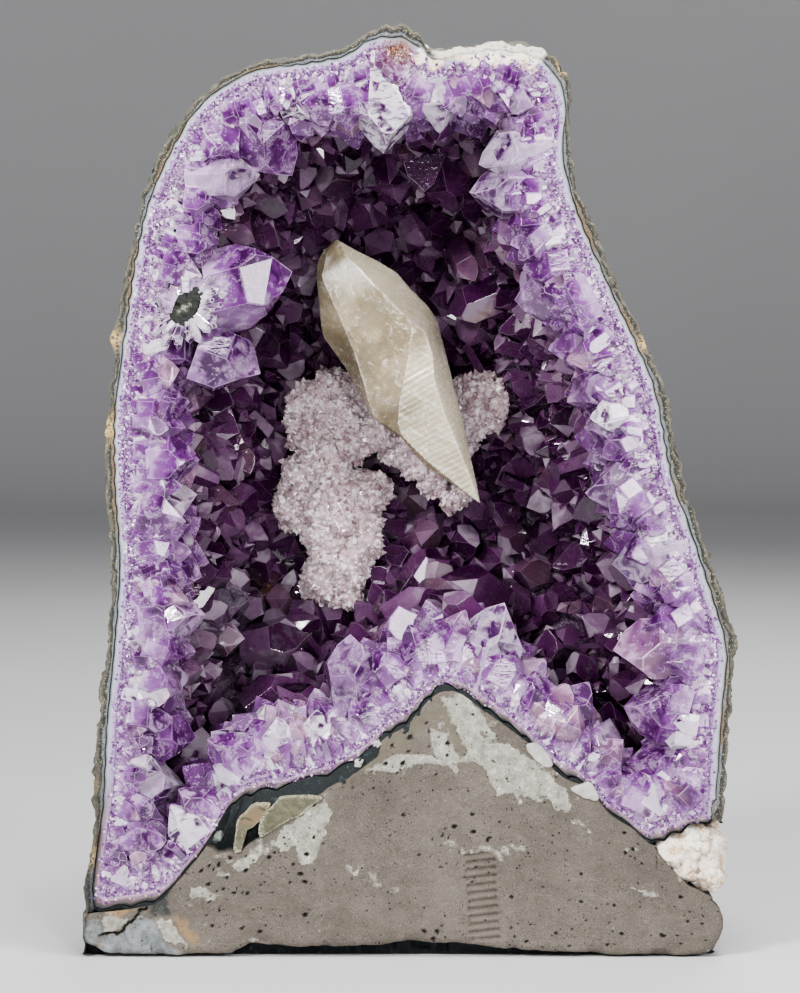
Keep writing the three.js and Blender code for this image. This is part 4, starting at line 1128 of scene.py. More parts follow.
def bed(finish):
    """Massive quartz behind and between the points: from the agate to a rough inner bowl."""
    back = (math.pi / 2 * np.linspace(0.05, 0.995, 12))[:, None]
    outer = bowl(geode_loop, AGATE + 2 * GAP, GEODE_DEPTH - AGATE - 2 * GAP, TURNS, back)
    across = np.linspace(0, 1, 16)[:, None]
    r = geode_loop.radius(TURNS, AGATE + GAP + 0.1 + 12.5 * across)
    face = around(TURNS, r, QUARTZ_FACE - 0.2 + 4.5 * across**1.5)
    face[..., 1] += 1.8 * rough(face, 4, 3, seed=91) * ease(across, 0.0, 0.15)
    tilts = (math.pi / 2 * np.linspace(0.1, 0.995, 50))[:, None]
    inner = bowl(geode_loop, 17, GEODE_DEPTH - 24, TURNS, tilts)
    heart = np.array([CENTRE[0], FRONT, CENTRE[1]])
    inner = heart + (inner - heart) * (1 + 0.05 * rough(inner, 12, 3, seed=95))[..., None]
    rows = np.concatenate([outer[::-1], face, inner])
    points, faces = tube(rows, outer[-1].mean(axis=0), inner[-1].mean(axis=0))
    bands = np.concatenate([np.zeros(len(outer)), across[:, 0], np.ones(len(inner))])
    bands = np.append(np.repeat(bands, TURNS.size), [0, 1])
    add_piece("amethyst_bed", points, faces, finish, ["amethyst_crust"],
              paint={"deep": ease(points[:, 1] - FRONT, 4, 26), "rust": near(points, *RUST),
                     "outer": ease(bands, 0.32, 0.12)})


# ---- amethyst points ----
EYE = np.array([-95.8, 281.6])  # middle of the dark mineral on the left
WALL_TILTS = (0.12, 1.54)  # of the wall's tips round the bowl, from its mouth to its bottom
SHOWPIECES = [  # foot, tip, radius, how far behind the face, frost, tint
    ((-86, 287), (-50, 296), 17, 16, 0.0, 0.35), ((-92, 262), (-64, 252), 13, 14, 0.1, 0.7),
    ((-108, 336), (-64, 338), 11.5, 13, 0.25, 0.1), ((-80, 372), (-50, 338), 16, 16, 0.0, 0.8),
    ((-54, 384), (-42, 355), 10.5, 11, 0.7, 0.2), ((-30, 386), (-24, 354), 10, 13, 0.0, 1.0),
    ((-9, 392), (-11, 347), 12.5, 13, 1.0, 0.3), ((11, 386), (13, 356), 9, 12, 0.45, 0.2),
    ((35, 388), (40, 357), 13.5, 14, 0.0, 0.9), ((66, 353), (30, 343), 12, 15, 0.4, 0.2),
    ((66, 331), (26, 331), 12.5, 15, 0.2, 0.5),
    ((86, 290), (46, 284), 13, 15, 0.0, 0.5), ((100, 266), (60, 263), 11.5, 14, 0.0, 0.7),
    ((130, 134), (88, 133), 14, 14, 0.0, 0.9), ((132, 102), (93, 108), 12.5, 13, 0.0, 0.8),
    ((28, 108), (41, 153), 14, 15, 0.35, 0.3), ((6, 104), (-4, 151), 11, 22, 0.0, 0.6),
    ((-20, 88), (-26, 139), 12, 17, 0.1, 0.6), ((128, 76), (94, 84), 11.5, 14, 0.0, 0.6),
    ((112, 207), (76, 201), 12.5, 13, 0.1, 0.25), ((120, 178), (88, 170), 13, 14, 0.25, 0.2),
]


def at_rim(turn, inset):
    """A spot at the sawn face, that far inside the geode's edge."""
    return bowl(geode_loop, inset, GEODE_DEPTH, np.asarray(turn, float), 0.0)


def rim_crystals():
    """The largest points, and a row between them wherever there is room, as in the solids."""
    feet, tips, radii, frost, tint = [], [], [], [], []
    for i, (start, end, radius, behind, white, shade) in enumerate(SHOWPIECES):
        feet.append([start[0], FRONT + behind, start[1]])
        tips.append([end[0], FRONT + behind - 3 + 8 * chance(i, 3), end[1]])
        radii.append(radius)
        frost.append(white)
        tint.append(shade)
    walked, step = 0.0, 0.01
    for i in range(int(TURN / step) + 1):
        turn = i * step
        walked += np.linalg.norm(at_rim(turn, 25) - at_rim(turn - step, 25))
        if walked < 20:
            continue
        walked = 0.0
        key = 100 + i
        radius = 9 + 3.5 * chance(key, 2)
        foot_at = at_rim(turn, 12)
        along = unit(at_rim(turn + 0.08, 8) - at_rim(turn - 0.08, 8))
        inward = unit(np.array([-along[2], 0, along[0]]) + along * (0.7 * chance(key, 4) - 0.35))
        foot_at[1] += radius + 1 + 5 * chance(key, 7)
        tip = foot_at + inward * (20 + 7 * chance(key, 8)) + [0, 9 * chance(key, 9) - 2, 0]
        middle = foot_at + 0.6 * (tip - foot_at)
        apart = [np.linalg.norm(np.add(f, 0.6 * np.subtract(t, f)) - middle) / (r + radius)
                 for f, t, r in zip(feet, tips, radii)]
        if min(apart) > 0.75:
            feet.append(foot_at)
            tips.append(tip)
            radii.append(radius)
            frost.append(0.5 * chance(key, 12) ** 4)
            tint.append(chance(key, 13))
    feet, tips, radii = np.array(feet), np.array(tips), np.array(radii) * 0.94
    return crystals(feet, tips - feet, radii, np.linalg.norm(tips - feet, axis=1), 300,
                    plane=0.3, flat=(0.92, 1.12), frost=frost, tint=tint)


def ring_crystals(count, seed, radius, length, inset, behind, splay, room, lean=(-0.15, 0.35), *, frosted,
                  plane=0.5):
    """Points that stand on the rim's inside: thrown at random round the rim, and kept where there
    is room and the dark eye stays open. Each points inward, turned by up to splay and leaning
    back into the hollow; the given share of them is frosted white."""
    pick = np.random.default_rng(seed)
    turn = pick.uniform(0, TURN, count)
    size = pick.random(count) ** 1.5
    r = radius[0] + (radius[1] - radius[0]) * size
    spot = at_rim(turn, pick.uniform(*inset, count))
    along = unit(at_rim(turn + 0.05, 8) - at_rim(turn - 0.05, 8))
    inward = np.stack([-along[:, 2], 0 * r, along[:, 0]], axis=1)
    to_axis = np.array([CENTRE[0], 0, CENTRE[1]]) - spot * [1, 0, 1]
    inward *= np.sign((inward * to_axis).sum(1, keepdims=True))
    aside = along * pick.uniform(-splay, splay, (count, 1))
    aim = unit(inward + aside + np.outer(pick.uniform(*lean, count), [0, 1, 0]))
    spot[:, 1] += pick.uniform(*behind, count) + r * 0.6
    tall = length[0] + (length[1] - length[0]) * (0.6 * size + 0.4 * pick.random(count))
    share = np.clip(((EYE - spot[:, ::2]) * aim[:, ::2]).sum(axis=1) / tall, 0, 1)
    away = np.linalg.norm(spot[:, ::2] + aim[:, ::2] * (share * tall)[:, None] - EYE, axis=1)
    free = np.flatnonzero(away > 9.5 + r * 0.6)
    kept = free[spaced((spot + aim * (0.6 * tall)[:, None])[free], (r * room)[free])]
    frost = (pick.random(len(kept)) < frosted) * pick.uniform(0.4, 0.9, len(kept))
    return crystals(spot[kept], aim[kept], r[kept], tall[kept], seed + 1, plane=plane, frost=frost)


def wall_crystals(count, seed, radius, length, inset, room, jitter):
    """Points over the hollow's wall: thrown over a bowl and kept where there is room, each along
    the bowl's inward normal with some jitter. A cluster low on the left is pale."""
    pick = np.random.default_rng(seed)
    turn = pick.uniform(0, TURN, count)
    first, last = WALL_TILTS
    lean = first + (last - first) * pick.random(count) ** 0.8
    at = lambda t, l: bowl(geode_loop, inset, GEODE_DEPTH - inset - 7, t, l)
    tip = at(turn, lean)
    normal = unit(np.cross(at(turn + 0.02, lean) - at(turn - 0.02, lean),
                           at(turn, lean + 0.02) - at(turn, lean - 0.02)))
    heart = np.array([10, FRONT + 30, 210.0])
    normal *= np.sign((normal * (heart - tip)).sum(axis=1, keepdims=True))
    size = pick.random(count) ** 1.6
    r = radius[0] + (radius[1] - radius[0]) * size
    tall = length[0] + (length[1] - length[0]) * (0.7 * size + 0.3 * pick.random(count))
    aim = unit(normal + jitter * pick.normal(0, 1, (count, 3)))
    tip = tip + normal * pick.uniform(-4, 3, (count, 1))
    kept = spaced(tip, r * room)
    depth = ease(tip[kept, 1] - FRONT, 6, 30)
    pale = near(tip[kept], -70, 134, 15) * (pick.random(len(kept)) < 0.8)
    return crystals((tip - aim * tall[:, None])[kept], aim[kept], r[kept], tall[kept], seed + 1,
                    plane=0.3, deep=depth * (1 - 0.65 * pale), frost=0.4 * pale)


def petals():
    """White points that stand out from the dark eye: long ones to the right and down, in two
    layers, and wider lilac ones on its other sides."""
    pick = np.random.default_rng(345)
    right = np.linspace(-2.5, 0.75, 15) + pick.uniform(-0.09, 0.09, 15)
    behind = np.linspace(-2.4, 0.9, 12) + pick.uniform(-0.09, 0.09, 12)
    left = np.linspace(0.95, 3.9, 10) + pick.uniform(-0.1, 0.1, 10)
    turn = np.concatenate([right, behind, left])
    layer = np.repeat([0, 1, 2], [15, 12, 10])
    n = len(turn)
    aim = np.stack([np.cos(turn), pick.uniform(-0.15, 0.05, n), np.sin(turn)], axis=1)
    long = np.choose(layer, [7, 10.5, 7]) + pick.uniform(-1.5, 2.5, n)
    wide = np.choose(layer, [1.25, 1.7, 2.5]) * pick.uniform(0.8, 1.25, n)
    along = turn - 0.86
    away = 1 / np.hypot(np.cos(along) / 8.4, np.sin(along) / 5.2)
    foot_at = np.stack([EYE[0] + away * np.cos(turn), FRONT + 1.7 + 1.1 * np.minimum(layer, 1.5),
                        EYE[1] + away * np.sin(turn)], axis=1)
    foot_at[:, 1] += pick.uniform(-0.3, 0.6, n)
    white = np.choose(layer, [0.85, 0.55, 0.35]) * pick.uniform(0.6, 1.1, n)
    return crystals(foot_at, unit(aim), wide, long, 346, plane=-0.6, frost=white,
                    tint=pick.uniform(0, 0.5, n))


def sugar():
    """A crust of grains all along the geode's edge, thickest on its outside, clear of the dark eye."""
    pick = np.random.default_rng(340)
    n = 11500
    turn = pick.uniform(0, TURN, n)
    spot = at_rim(turn, 2.6 + 5.6 * pick.random(n) ** 1.4)
    spot[:, 1] = QUARTZ_FACE + pick.uniform(-0.8, 0.6, n)
    spot = spot[np.linalg.norm(spot[:, ::2] - EYE, axis=1) > 7]
    n = len(spot)
    aim = unit(np.stack([pick.normal(0, 0.6, n), -np.ones(n), pick.normal(0, 0.6, n)], axis=1))
    r = 0.4 + 0.7 * pick.random(n) ** 2
    return crystals(spot, aim, r, r * pick.uniform(1.0, 2.0, n), 341, plane=0.0)


def amethyst_points(rim_finish, cavity_finish, grain):
    """All the amethyst's crystals: large, small and smallest ones round the rim, the sugary grains
    on its outside, and large and small ones over the hollow's wall."""
    edge = ring_crystals(count=2200, seed=310, radius=(6, 10.5), length=(15, 24), inset=(8, 15),
                         behind=(0, 21), splay=0.35, room=1.0, frosted=0.05)
    second = ring_crystals(count=1500, seed=315, radius=(5, 8.5), length=(16, 25), inset=(8, 17),
                           behind=(8, 32), splay=0.6, room=1.2, frosted=0, plane=5)
    between = ring_crystals(count=4200, seed=320, radius=(2.6, 5.4), length=(8, 17), inset=(3.5, 11),
                            behind=(-1, 9), splay=0.5, room=1.2, frosted=0.1, plane=0.9)
    outermost = ring_crystals(count=7000, seed=330, radius=(1.0, 2.3), length=(3.5, 8), inset=(3.5, 11),
                              behind=(-1.2, 2.5), splay=0.8, room=1.3, lean=(-0.9, 0.2), frosted=0.4,
                              plane=1.2)
    large = [grown(fine_points, rim_crystals(), 0.7), grown(fine_points, edge, 0.5),
             grown(fine_points, second), grown(fine_points, petals(), 0.35)]
    small = [grown(fine_points, between, 0.35)]
    shoots = [grown(plain_points, outermost)]
    for name, parts in (("rim_points", large), ("rim_small_points", small), ("rim_shoots", shoots)):
        points, faces, paint = joined(parts)
        add_piece("amethyst_" + name, points, faces, rim_finish, ["amethyst_crust"],
                  paint={**paint, "rust": near(points, *RUST), "iron": 0})

    points, faces, paint = grown(grains, sugar())
    add_piece("amethyst_grains", points, faces, grain, ["amethyst_crust"],
              paint={"tint": paint["tint"], "rust": near(points, *RUST)})

    large = wall_crystals(count=5000, seed=350, radius=(6.5, 12), length=(22, 36), inset=TIP_INSET - 2,
                          room=1.2, jitter=0.28)
    small = wall_crystals(count=7000, seed=360, radius=(3.2, 6.0), length=(13, 24), inset=TIP_INSET - 7,
                          room=1.45, jitter=0.4)
    for name, shape, facts, frame_width in (("cavity_points", fine_points, large, 0.35),
                                            ("cavity_small_points", plain_points, small, 0.25)):
        points, faces, paint = grown(shape, facts, frame_width)
        iron = near(points, -64, 151, 2.5) + near(points, 17, 265, 1.6) + near(points, 30, 270, 1.8)
        add_piece("amethyst_" + name, points, faces, cavity_finish, ["amethyst_crust"],
                  paint={**paint, "rust": 0, "iron": iron})


# ---- quartz druse ----
QUARTZ_BACK = 96.0  # how far behind the face the druse's lumps have their middles
QUARTZ_LUMPS = np.array([  # x, z, radius
    (-34, 244, 8.3), (-43, 236, 9.4), (-32, 230, 11.4), (-44, 224, 10.4), (-25, 237, 9.4), (-39, 211, 11.4),
    (-26, 219, 9.4), (-48, 200, 10.4), (-34, 196, 14), (-20, 194, 11), (-50, 187, 9.8), (-36, 182, 13),
    (-23, 183, 10), (-35, 168, 11.4), (-26, 162, 10), (-39, 157, 10), (-29, 151, 9), (-22, 171, 9),
    (-14, 224, 9.4), (-5, 217, 8.3), (3, 209, 7.8), (12, 201, 7.3), (19, 193, 5.7), (-8, 235, 12.5),
    (6, 227, 12.5), (29, 239, 9.9), (35, 231, 8.3), (25, 228, 9.4), (38, 240, 6.2), (21, 216, 8.3),
], float)


def lump(centre, radius, columns, rows, height, size, seed):
    """A closed lump: a ball by longitude and latitude, its radius varied by noise of that height
    and size. Returns its points and a rule for the skin along any direction."""
    relief = lambda aim: height * rough(aim * radius + centre, size, 4, seed)
    skin = lambda aim: centre + aim * (radius + relief(aim))[..., None]
    lon = np.linspace(0, TURN, columns, endpoint=False)[None]
    lat = np.linspace(0.04, math.pi - 0.04, rows)[:, None]
    ball = np.stack(np.broadcast_arrays(
        np.sin(lat) * np.cos(lon), np.cos(lat), np.sin(lat) * np.sin(lon)), axis=-1)
    rings = skin(ball)
    points, faces = tube(rings, rings[0].mean(axis=0), rings[-1].mean(axis=0))
    if volume(points - centre, faces) < 0:
        faces = [group[:, ::-1] for group in faces]
    return points, faces, skin


def quartz(finish):
    """White druse: lumps, and thousands of tiny points over the sides of them that show."""
    pick = np.random.default_rng(410)
    behind = QUARTZ_BACK + 5 * chance(np.arange(len(QUARTZ_LUMPS)), 5)
    centres = np.stack([QUARTZ_LUMPS[:, 0], FRONT + behind, QUARTZ_LUMPS[:, 1]], axis=1)
    radii = QUARTZ_LUMPS[:, 2]
    share = radii**2 / (radii**2).sum()
    parts, spots, aims = [], [], []
    for k, (centre, radius) in enumerate(zip(centres, radii)):
        points, faces, skin = lump(centre, radius, 30, 18, 6.0, 6, 400 + k)
        parts.append((points, faces, {"tint": np.full(len(points), 0.35)}))
        aim = unit(pick.normal(0, 1, (int(34000 * share[k]), 3)))
        aim = aim[aim[:, 1] < 0.25]
        spot = skin(aim)
        others = np.linalg.norm(spot[:, None] - np.delete(centres, k, axis=0)[None], axis=2)
        clear = (others > np.delete(radii, k) * 0.97).all(axis=1)
        spots.append(spot[clear] - 0.4 * aim[clear])
        aims.append(aim[clear])
    spot, aim = np.vstack(spots), np.vstack(aims)
    order = pick.permutation(len(spot))[:12500]
    spot, aim = spot[order], aim[order]
    n = len(spot)
    r = 0.55 + 1.35 * pick.random(n) ** 2.0
    tiny = crystals(spot, unit(aim + pick.normal(0, 0.55, (n, 3))), r, r * pick.uniform(0.8, 1.7, n), 411)
    points, faces, paint = grown(grains, tiny)
    parts.append((points, faces, {"tint": paint["tint"]}))
    points, faces, paint = joined(parts)
    add_piece("quartz_druse", points, faces, finish, ["quartz_patch"], paint=paint)


# ---- calcite ----
CALCITE_MIDDLE = np.array([-4, FRONT + 62, 250.5])
CALCITE_AXIS = unit(np.array([-0.496, 0.06, 0.868]))
CALCITE_SIDE = np.array([0.868, 0, 0.496])
CALCITE_ENDS = (64.9, 4.9), (-67.5, 2.4)  # apex and lower tip: along the axis, and across
CALCITE_EDGES = {  # each edge from the apex down: along the axis, across it, and forward
    "left": [(63.6, -2.8, 0), (59.9, -7.8, -0.5), (55, -10.8, -1), (45.9, -14.8, -2), (33.2, -20.8, -3),
             (29.9, -21.6, -3), (13.7, -19.9, -4), (5.5, -20.3, -4), (-4.5, -20.3, -4), (-11.1, -20.3, -3),
             (-17.9, -17.6, -2.5), (-24.4, -13.9, -2), (-39.6, -11.1, -2), (-57.8, -2.5, -1)],
    "crest": [(62.5, -1.0, 2), (54, -8.6, 4), (31.9, -11, 9), (19.1, -12.6, 10), (4.7, -15.6, 9),
              (-10.7, -19.4, 3), (-24.4, -13.4, 0), (-39.6, -10.4, 0), (-57.8, -2.3, 0)],
    "junction": [(63, 5.1, 1), (56.6, 4.7, 5), (50.4, 7.3, 8), (38.4, 9.9, 13), (28.3, 12.7, 16),
                 (16, 16.2, 18.2), (7.3, 9.6, 18), (-3.4, 0.2, 15), (-11.1, -6.2, 11), (-18.6, -11.4, 5),
                 (-24.4, -12.8, 2), (-39.6, -8.6, 3.5), (-57.8, -1.6, 1)],
    "ridge": [(63, 5.4, 1), (56.6, 5, 5), (50.4, 7.6, 8), (38.4, 10.2, 13), (28.3, 13, 16),
              (16, 16.6, 18.2), (10.3, 19, 16.8), (1.2, 17, 17), (-8.5, 12.4, 16.5), (-25.2, 8.5, 13),
              (-40.2, 6.6, 9), (-53.4, 4.7, 4.5)],
    "right": [(56.1, 10.5, 0), (47.7, 16.1, -0.5), (39.3, 20.8, -1), (29.3, 22.6, -1), (19.2, 25.4, -2),
              (11.4, 25.7, -2), (6.5, 24.3, -2), (-0.9, 22.4, -2), (-10, 20, -2), (-20.5, 16.9, -2),
              (-40.8, 11, -2), (-51.3, 7.8, -1)],
    "back_right": [(50, 12, -8), (38, 15, -13), (20, 16, -17), (0, 14, -17), (-20, 10, -14),
                   (-40, 6.5, -8)],
    "back_left": [(50, -3, -8), (30, -10, -14), (10, -11, -17), (-10, -11, -14), (-30, -6, -9),
                  (-50, -1, -4)],
}
SMUDGES = [(-33, 288, 7), (-14, 279, 9), (-4, 234, 7), (22, 289, 5)]  # x, z and width


def calcite(finish):
    """The calcite: edges that run from the apex to the lower tip, each a line by height along the
    axis, and seven faces ruled between them, closer-set beside the edges."""
    top, tip = CALCITE_ENDS
    along = top[0] + (tip[0] - top[0]) * np.linspace(0.004, 0.996, 170)
    edges = []
    for line in CALCITE_EDGES.values():
        line = np.array([(*top, 0), *line, (*tip, 0)])[::-1]
        values = np.stack([np.interp(along, line[:, 0], line[:, k]) for k in (1, 2)], axis=1)
        for _ in range(2):
            values[1:-1] = (values[:-2] + 2 * values[1:-1] + values[2:]) / 4
        edges.append(values)
    edges = np.stack(edges, axis=1)
    share = np.array([0, 0.04, 0.14, 0.3, 0.5, 0.7, 0.86, 0.96])
    grid = edges[:, :, None] + (np.roll(edges, -1, axis=1) - edges)[:, :, None] * share[None, None, :, None]
    ridge = np.broadcast_to((share == 0)[None, None], grid.shape[:3])
    # side marks the left face, which the finish paints darker as painted shade
    side = np.zeros(grid.shape[:3])
    side[:, 0, 1:] = 1
    side *= ease(along, -14, 0)[:, None, None]
    # facet[0] is the striated face and facet[1] the right face; the finish paints the right face, and
    # through lower the striated one, paler as painted highlight
    facet = np.zeros((2, *grid.shape[:3]))
    facet[0, :, 2] = 1
    facet[1, :, 3] = 1
    grid, ridge, side, grooved, right = (
        a.reshape(len(along), -1, *a.shape[3:]) for a in (grid, ridge, side, facet[0], facet[1]))
    across, forward = grid[..., 0], grid[..., 1]
    on_axis = CALCITE_MIDDLE + along[:, None, None] * CALCITE_AXIS
    p = on_axis + across[..., None] * CALCITE_SIDE + forward[..., None] * np.array([0, -1.0, 0])
    out = unit(p - on_axis)
    # lower drives the steps and striae on the striated face and, weaker, on the right face; the finish also
    # paints these faces paler by it, as painted highlight
    lower = ease(along, 12, -4)[:, None] * (grooved + 0.4 * right)
    steps = 0.30 * lower * np.sin(along[:, None] * 2.6 + 3 * rough(p, 20, 2))
    chip = ease(np.hypot(along[:, None] + 17, (across + 1) * 0.55), 5.0, 2.0) * (forward > 0)
    p = p + out * (0.5 * rough(p, 12, 3, seed=600) + steps
                   - 1.0 * chip * noise(p, 2.5, seed=601))[..., None]
    ends = [CALCITE_MIDDLE + s * CALCITE_AXIS + w * CALCITE_SIDE for s, w in CALCITE_ENDS]
    points, faces = tube(p, *ends)
    smudge = sum(near(points, x, z, width) for x, z, width in SMUDGES)
    spread = lambda values: np.append(values.ravel(), [0, 0])
    add_piece("calcite_faces", points, faces, finish, ["calcite_crystal"], smooth=True,
              crease=0.25, paint={
                  "ridge": spread(ridge * (forward > -5)), "side": spread(side * 0.7),
                  "lower": spread(lower), "right": spread(right), "smudge": np.clip(smudge, 0, 1)})


# ---- smaller pieces ----
CORNER_LUMPS = [  # x, how far behind the face, z, radius
    (114.5, 8, 46, 7.5), (123, 10, 49, 8.5), (119.5, 12, 39.5, 8), (128.5, 13, 43.5, 7.5),
    (129, 12, 34.5, 6.5), (130, 27, 40, 9.5), (131, 14, 51, 5), (130, 22, 50, 6),
    (130.5, 20, 32.5, 6), (129, 31, 49, 5.5),
]
EYE_LUMPS = [  # the same
    (-97.6, 2.4, 278.2, 4.9), (-94.3, 2.4, 281.8, 4.4), (-96.5, 2.6, 286.0, 3.7), (-91.8, 2.6, 286.0, 3.9),
    (-100.2, 2.8, 276.6, 4.0),
]
NODULES = [  # the same, and greenness
    (-13.5, 2.4, 93.6, 2.4, 0), (-21, 2.6, 85, 2.0, 0.1), (-83.5, 6.0, 52.5, 3.0, 0.8),
    (-68.4, 5.4, 66.8, 2.2, 0.7), (-39, 6.2, 75.4, 3.0, 0.9), (-33.5, 5.4, 77.6, 2.2, 0.6),
    (-61, 8.5, 56, 3, 1),
]
LENSES = [  # outlines of two white stones, as (x, z)
    [(50.7, 92.4), (56.3, 92.8), (61.8, 85), (58.5, 83.4), (53.3, 87.6)],
    [(70, 73.6), (77.8, 76.4), (81.5, 71.8), (80.8, 68.8), (75.7, 69.7)],
]
SLABS = {  # outline of each slab, as (x, z), and how tan it is
    "olive_slab_long": (
        [(-64.5, 52.5), (-56, 57.5), (-47.5, 61.5), (-43, 65.5), (-37.8, 70.2), (-53.8, 70.4),
         (-58.5, 67), (-64, 60.5)], 0.0),
    "olive_slab_short": (
        [(-76, 46.5), (-72.5, 46.6), (-72.3, 54.5), (-67, 57), (-61.2, 64.2), (-60.2, 67.4),
         (-66.5, 67.2), (-71.5, 63), (-74.3, 59)], 0.8),
}


def lumps(list_of, columns, rows, height, size, seed):
    """Lumps from a list of x, how far behind the face, z and radius, each with its own seed."""
    parts = []
    for k, (x, behind, z, radius, *_) in enumerate(list_of):
        centre = np.array([x, FRONT + behind, z])
        points, faces, _ = lump(centre, radius, columns, rows, height, size, seed + k)
        parts.append((points, faces, {}))
    return parts


def corner(finish):
    """Cream calcite in the broken corner: big lumps with knobs on them."""
    pick = np.random.default_rng(500)
    knobs = []
    for x, behind, z, radius in CORNER_LUMPS:
        aim = unit(pick.normal(0, 1, (18, 3)) - [0, 0.5, 0])
        spot = np.array([x, behind, z]) + aim * radius * 0.86
        knobs += [(a, max(b, 3.0), c, s) for (a, b, c), s in zip(spot, pick.uniform(1.2, 3.2, 18))]
    points, faces, _ = joined(lumps(CORNER_LUMPS, 40, 24, 3.4, 5, 510) + lumps(knobs, 12, 8, 1.6, 2.5, 530))
    points[:, 0] = np.minimum(points[:, 0], 139.5 - 1.5 * noise(points, 4))
    points[:, 1] = np.maximum(points[:, 1], STONE_FACE + 0.2 + 0.8 * noise(points, 2))
    add_piece("corner_lumps", points, faces, finish, ["corner_calcite"], smooth=True)


def crust(finish):
    """A cream crust along the top of the rim: small lumps on the agate."""
    pick = np.random.default_rng(570)
    n = 110
    x = pick.uniform(5, 58, n)
    turn = np.arctan2(392 - CENTRE[1], x - CENTRE[0])
    spot = bowl(agate_loop, -0.4, GEODE_DEPTH, turn, 0 * turn)
    spot = spot - (spot - [CENTRE[0], FRONT, CENTRE[1]]) * (5.4 * pick.random(n) ** 1.3 / 165)[:, None]
    behind, large = pick.random(n), pick.random(n) ** 2
    list_of = [(x, 3.6 + 1.0 * b, z, 2.0 + 1.6 * r) for (x, _, z), b, r in zip(spot, behind, large)]
    points, faces, _ = joined(lumps(list_of, 20, 12, 2.4, 2.4, 580))
    points[:, 1] = np.maximum(points[:, 1], STONE_FACE - 0.6 + 0.9 * noise(points, 1.8))
    add_piece("cream_crust", points, faces, finish, smooth=True)


def eye(finish):
    """The dark mineral: five lumps like a butterfly, paler at their middle."""
    points, faces, _ = joined(lumps(EYE_LUMPS, 44, 30, 2.2, 2.2, 550))
    points[:, 1] = np.maximum(points[:, 1], FRONT + 0.4 + 0.7 * noise(points, 1.4, 2))
    along = np.array([0.78, 0.62])
    away = points[:, ::2] - [-96.6, 281.2]
    heart = np.hypot(away @ along / 2.0, away @ [-along[1], along[0]])
    add_piece("dark_eye_lumps", points, faces, finish, ["dark_eye"],
              paint={"heart": 1 - ease(heart, 0.4, 3.6)})


def plate(outline, near_y, far_y, seed):
    """A flat stone: rings from the middle to a ragged outline, then a wall back to a second
    middle. "rim" is 1 on the border."""
    line = spline(outline, closed=True, steps=10)[:-1]
    middle = line.mean(axis=0)
    ragged = rough(np.insert(line, 1, seed, axis=1), 3, 3)
    line = line + unit(line - middle) * ragged[:, None]
    share = np.append(np.linspace(0.08, 0.9, 7), [0.97, 1.0, 1.0, 1.0])[:, None, None]
    flat = middle + (line - middle) * share
    y = np.full(flat.shape[:2], near_y)
    y[-4:] = np.array([near_y, near_y + 0.35, (near_y + far_y) / 2, far_y])[:, None]
    rows = np.stack([flat[..., 0], y, flat[..., 1]], axis=-1)
    rows[:-1, :, 1] += 0.5 * rough(rows[:-1], 3.5, 3, seed)
    points, faces = tube(rows, [middle[0], near_y, middle[1]], [middle[0], far_y, middle[1]])
    if volume(points, faces) < 0:
        faces = [group[:, ::-1] for group in faces]
    rim = np.append(np.repeat(ease(share[:, 0, 0], 0.80, 0.95), len(line)), [0, 0])
    return points, faces, {"rim": rim}


def nodules(finish):
    """Small stones in the seam and along the hill: lumps, and two white lenses."""
    parts = [(points, faces, {"tint": greenness}) for (points, faces, _), (*_, greenness)
             in zip(lumps(NODULES, 26, 16, 2.6, 2.8, 700), NODULES)]
    for k, outline in enumerate(LENSES):
        points, faces, _ = plate(outline, STONE_FACE - 0.5, STONE_FACE + 4, 720 + k)
        parts.append((points, faces, {"tint": 0.05}))
    points, faces, paint = joined(parts)
    add_piece("seam_nodules", points, faces, finish, smooth=True, crease=0.7, paint=paint)


def slabs(finish):
    """The two olive slabs, which lie in the seam: plates through its whole depth."""
    for k, (name, (outline, tan)) in enumerate(SLABS.items()):
        points, faces, paint = plate(outline, STONE_FACE - 0.75, FRONT + SEAM_DEPTH - GAP, 740 + k)
        add_piece(name + "_stone", points, faces, finish, [name], smooth=True, crease=0.7,
                  paint={**paint, "tan": tan * ease(points[:, 2], 55, 60)})


# ---- stage ----
FLOOR_FRONT, FLOOR_SIDE = -4000, 4500  # where the floor ends, in mm
BEND_START, BEND_RADIUS, BACKDROP_TOP = 2600, 900, 5000  # where and how it curves up behind
LAMPS = [  # name, place, size and power
    ("key", (-0.95, -1.25, 1.15), 0.42, 34),
    ("low", (0.1, -1.9, 0.12), 0.30, 5.5),
    ("fill", (1.15, -1.2, 0.75), 0.6, 17),
    ("top", (0.1, -0.35, 1.35), 0.5, 12),
    ("glint", (0.30, -1.7, 0.85), 0.10, 8),
    ("second_glint", (-0.35, -1.8, 0.35), 0.08, 5),
    ("back", (0.3, 1.3, 1.2), 0.9, 14),
]
LAMPS_AIM = np.array([0, 0, 0.2])
LENS, SENSOR = 190, 36
VIEW_HEIGHT = 0.427  # of the picture, in the plane of the sawn face
VIEW_RISE = math.radians(4)  # how far the camera looks down
VIEW_MIDDLE = Vector((-0.0039, FRONT * MM, 0.2002))


def aimed(thing, along):
    """Turns a lamp or camera to look along a direction, upright."""
    thing.rotation_mode = "QUATERNION"
    thing.rotation_quaternion = along.to_track_quat("-Z", "Y")
    bpy.context.scene.collection.objects.link(thing)


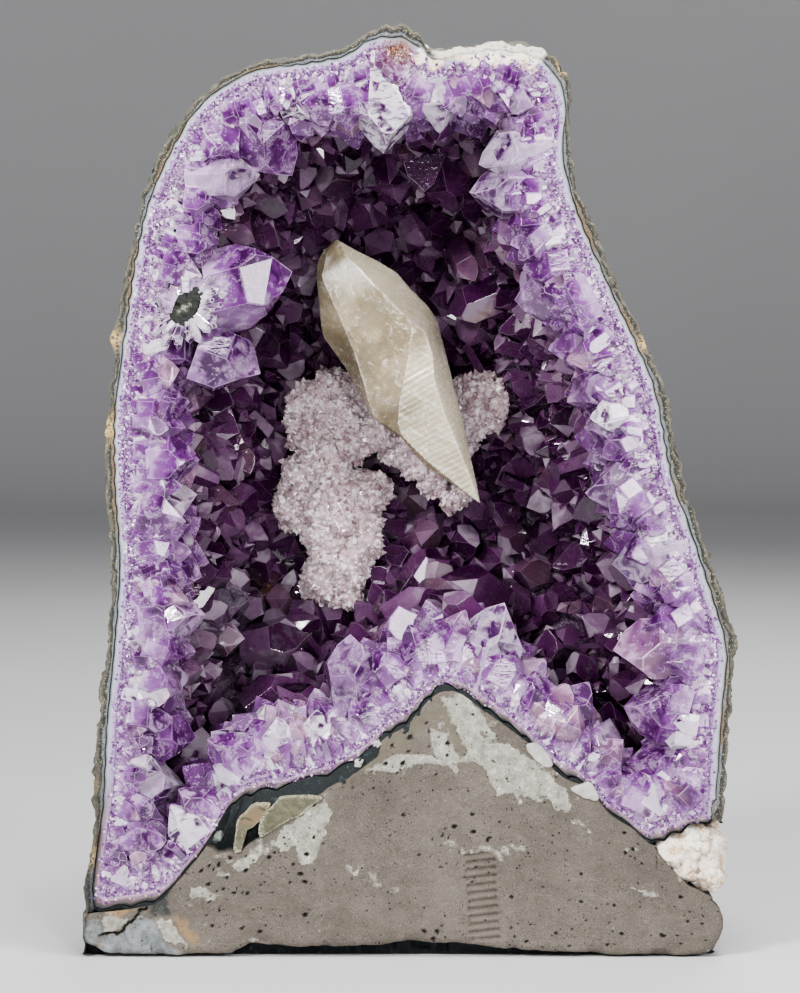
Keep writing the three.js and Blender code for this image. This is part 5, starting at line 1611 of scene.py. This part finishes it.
def floor():
    """A pale floor that curves up into a backdrop by a quarter of a circle."""
    f = Finish("pale_floor")
    cloud = f.noise(400, 2)
    pale = f.mix(cloud, (0.60, 0.60, 0.61), (0.64, 0.64, 0.65))
    finish = f.done({"Base Color": pale, "Roughness": 0.6 + cloud * 0.1})
    arc = np.linspace(0, math.pi / 2, 24)
    bend = np.stack([BEND_START + BEND_RADIUS * np.sin(arc), BEND_RADIUS - BEND_RADIUS * np.cos(arc)],
                    axis=1)
    profile = np.vstack([[(FLOOR_FRONT, 0)], bend, [(BEND_START + BEND_RADIUS, BACKDROP_TOP)]])
    x = np.linspace(-FLOOR_SIDE, FLOOR_SIDE, 9)
    p = np.stack(np.broadcast_arrays(x[None], profile[:, :1], profile[:, 1:]), axis=-1)
    mesh = bpy.data.meshes.new("floor")
    faces = grid_faces(len(profile), len(x))
    mesh.from_pydata((p.reshape(-1, 3) * MM).tolist(), [], faces[:, ::-1].tolist())
    mesh.polygons.foreach_set("use_smooth", np.ones(len(faces), bool))
    mesh.materials.append(finish)
    ground = bpy.data.objects.new("floor", mesh)
    bpy.context.scene.collection.objects.link(ground)
    ground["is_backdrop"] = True


def studio():
    """The floor, soft round lamps, a dim grey world and the camera."""
    floor()
    for name, place, size, power in LAMPS:
        light = bpy.data.lights.new(name, "AREA")
        light.size, light.energy, light.shape = size, power, "DISK"
        lamp = bpy.data.objects.new(name, light)
        lamp.location = place
        aimed(lamp, Vector(LAMPS_AIM - np.array(place)))

    scene = bpy.context.scene
    world = bpy.data.worlds.new("studio")
    world.use_nodes = True
    world.node_tree.nodes["Background"].inputs[0].default_value = (0.30, 0.30, 0.31, 1)
    world.node_tree.nodes["Background"].inputs[1].default_value = 0.42
    scene.world = world
    scene.view_settings.view_transform = "AgX"
    scene.view_settings.look = "AgX - Medium High Contrast"
    scene.cycles.adaptive_threshold = 0.06
    for kind, count in (("max", 3), ("diffuse", 1), ("glossy", 1), ("transmission", 3)):
        setattr(scene.cycles, kind + "_bounces", count)

    camera = bpy.data.cameras.new("camera")
    camera.lens, camera.sensor_width = LENS, SENSOR
    viewpoint = bpy.data.objects.new("camera", camera)
    back = Vector((0, -math.cos(VIEW_RISE), math.sin(VIEW_RISE)))
    viewpoint.location = VIEW_MIDDLE + back * (VIEW_HEIGHT * LENS / SENSOR)
    aimed(viewpoint, -back)
    scene.camera = viewpoint


# ---- assembly ----
studio()
rind(rind_finish())
foot(foot_finish())
agate(agate_finish())
bed(bed_finish())
amethyst_points(amethyst_finish("rim_amethyst", 0.30, 0.06), amethyst_finish("cavity_amethyst", 0.5, 0.03),
                grain_finish())
quartz(quartz_finish())
calcite(calcite_finish())
cream = cream_finish()
corner(cream)
crust(cream)
eye(eye_finish())
nodules(nodule_finish())
slabs(olive_finish())
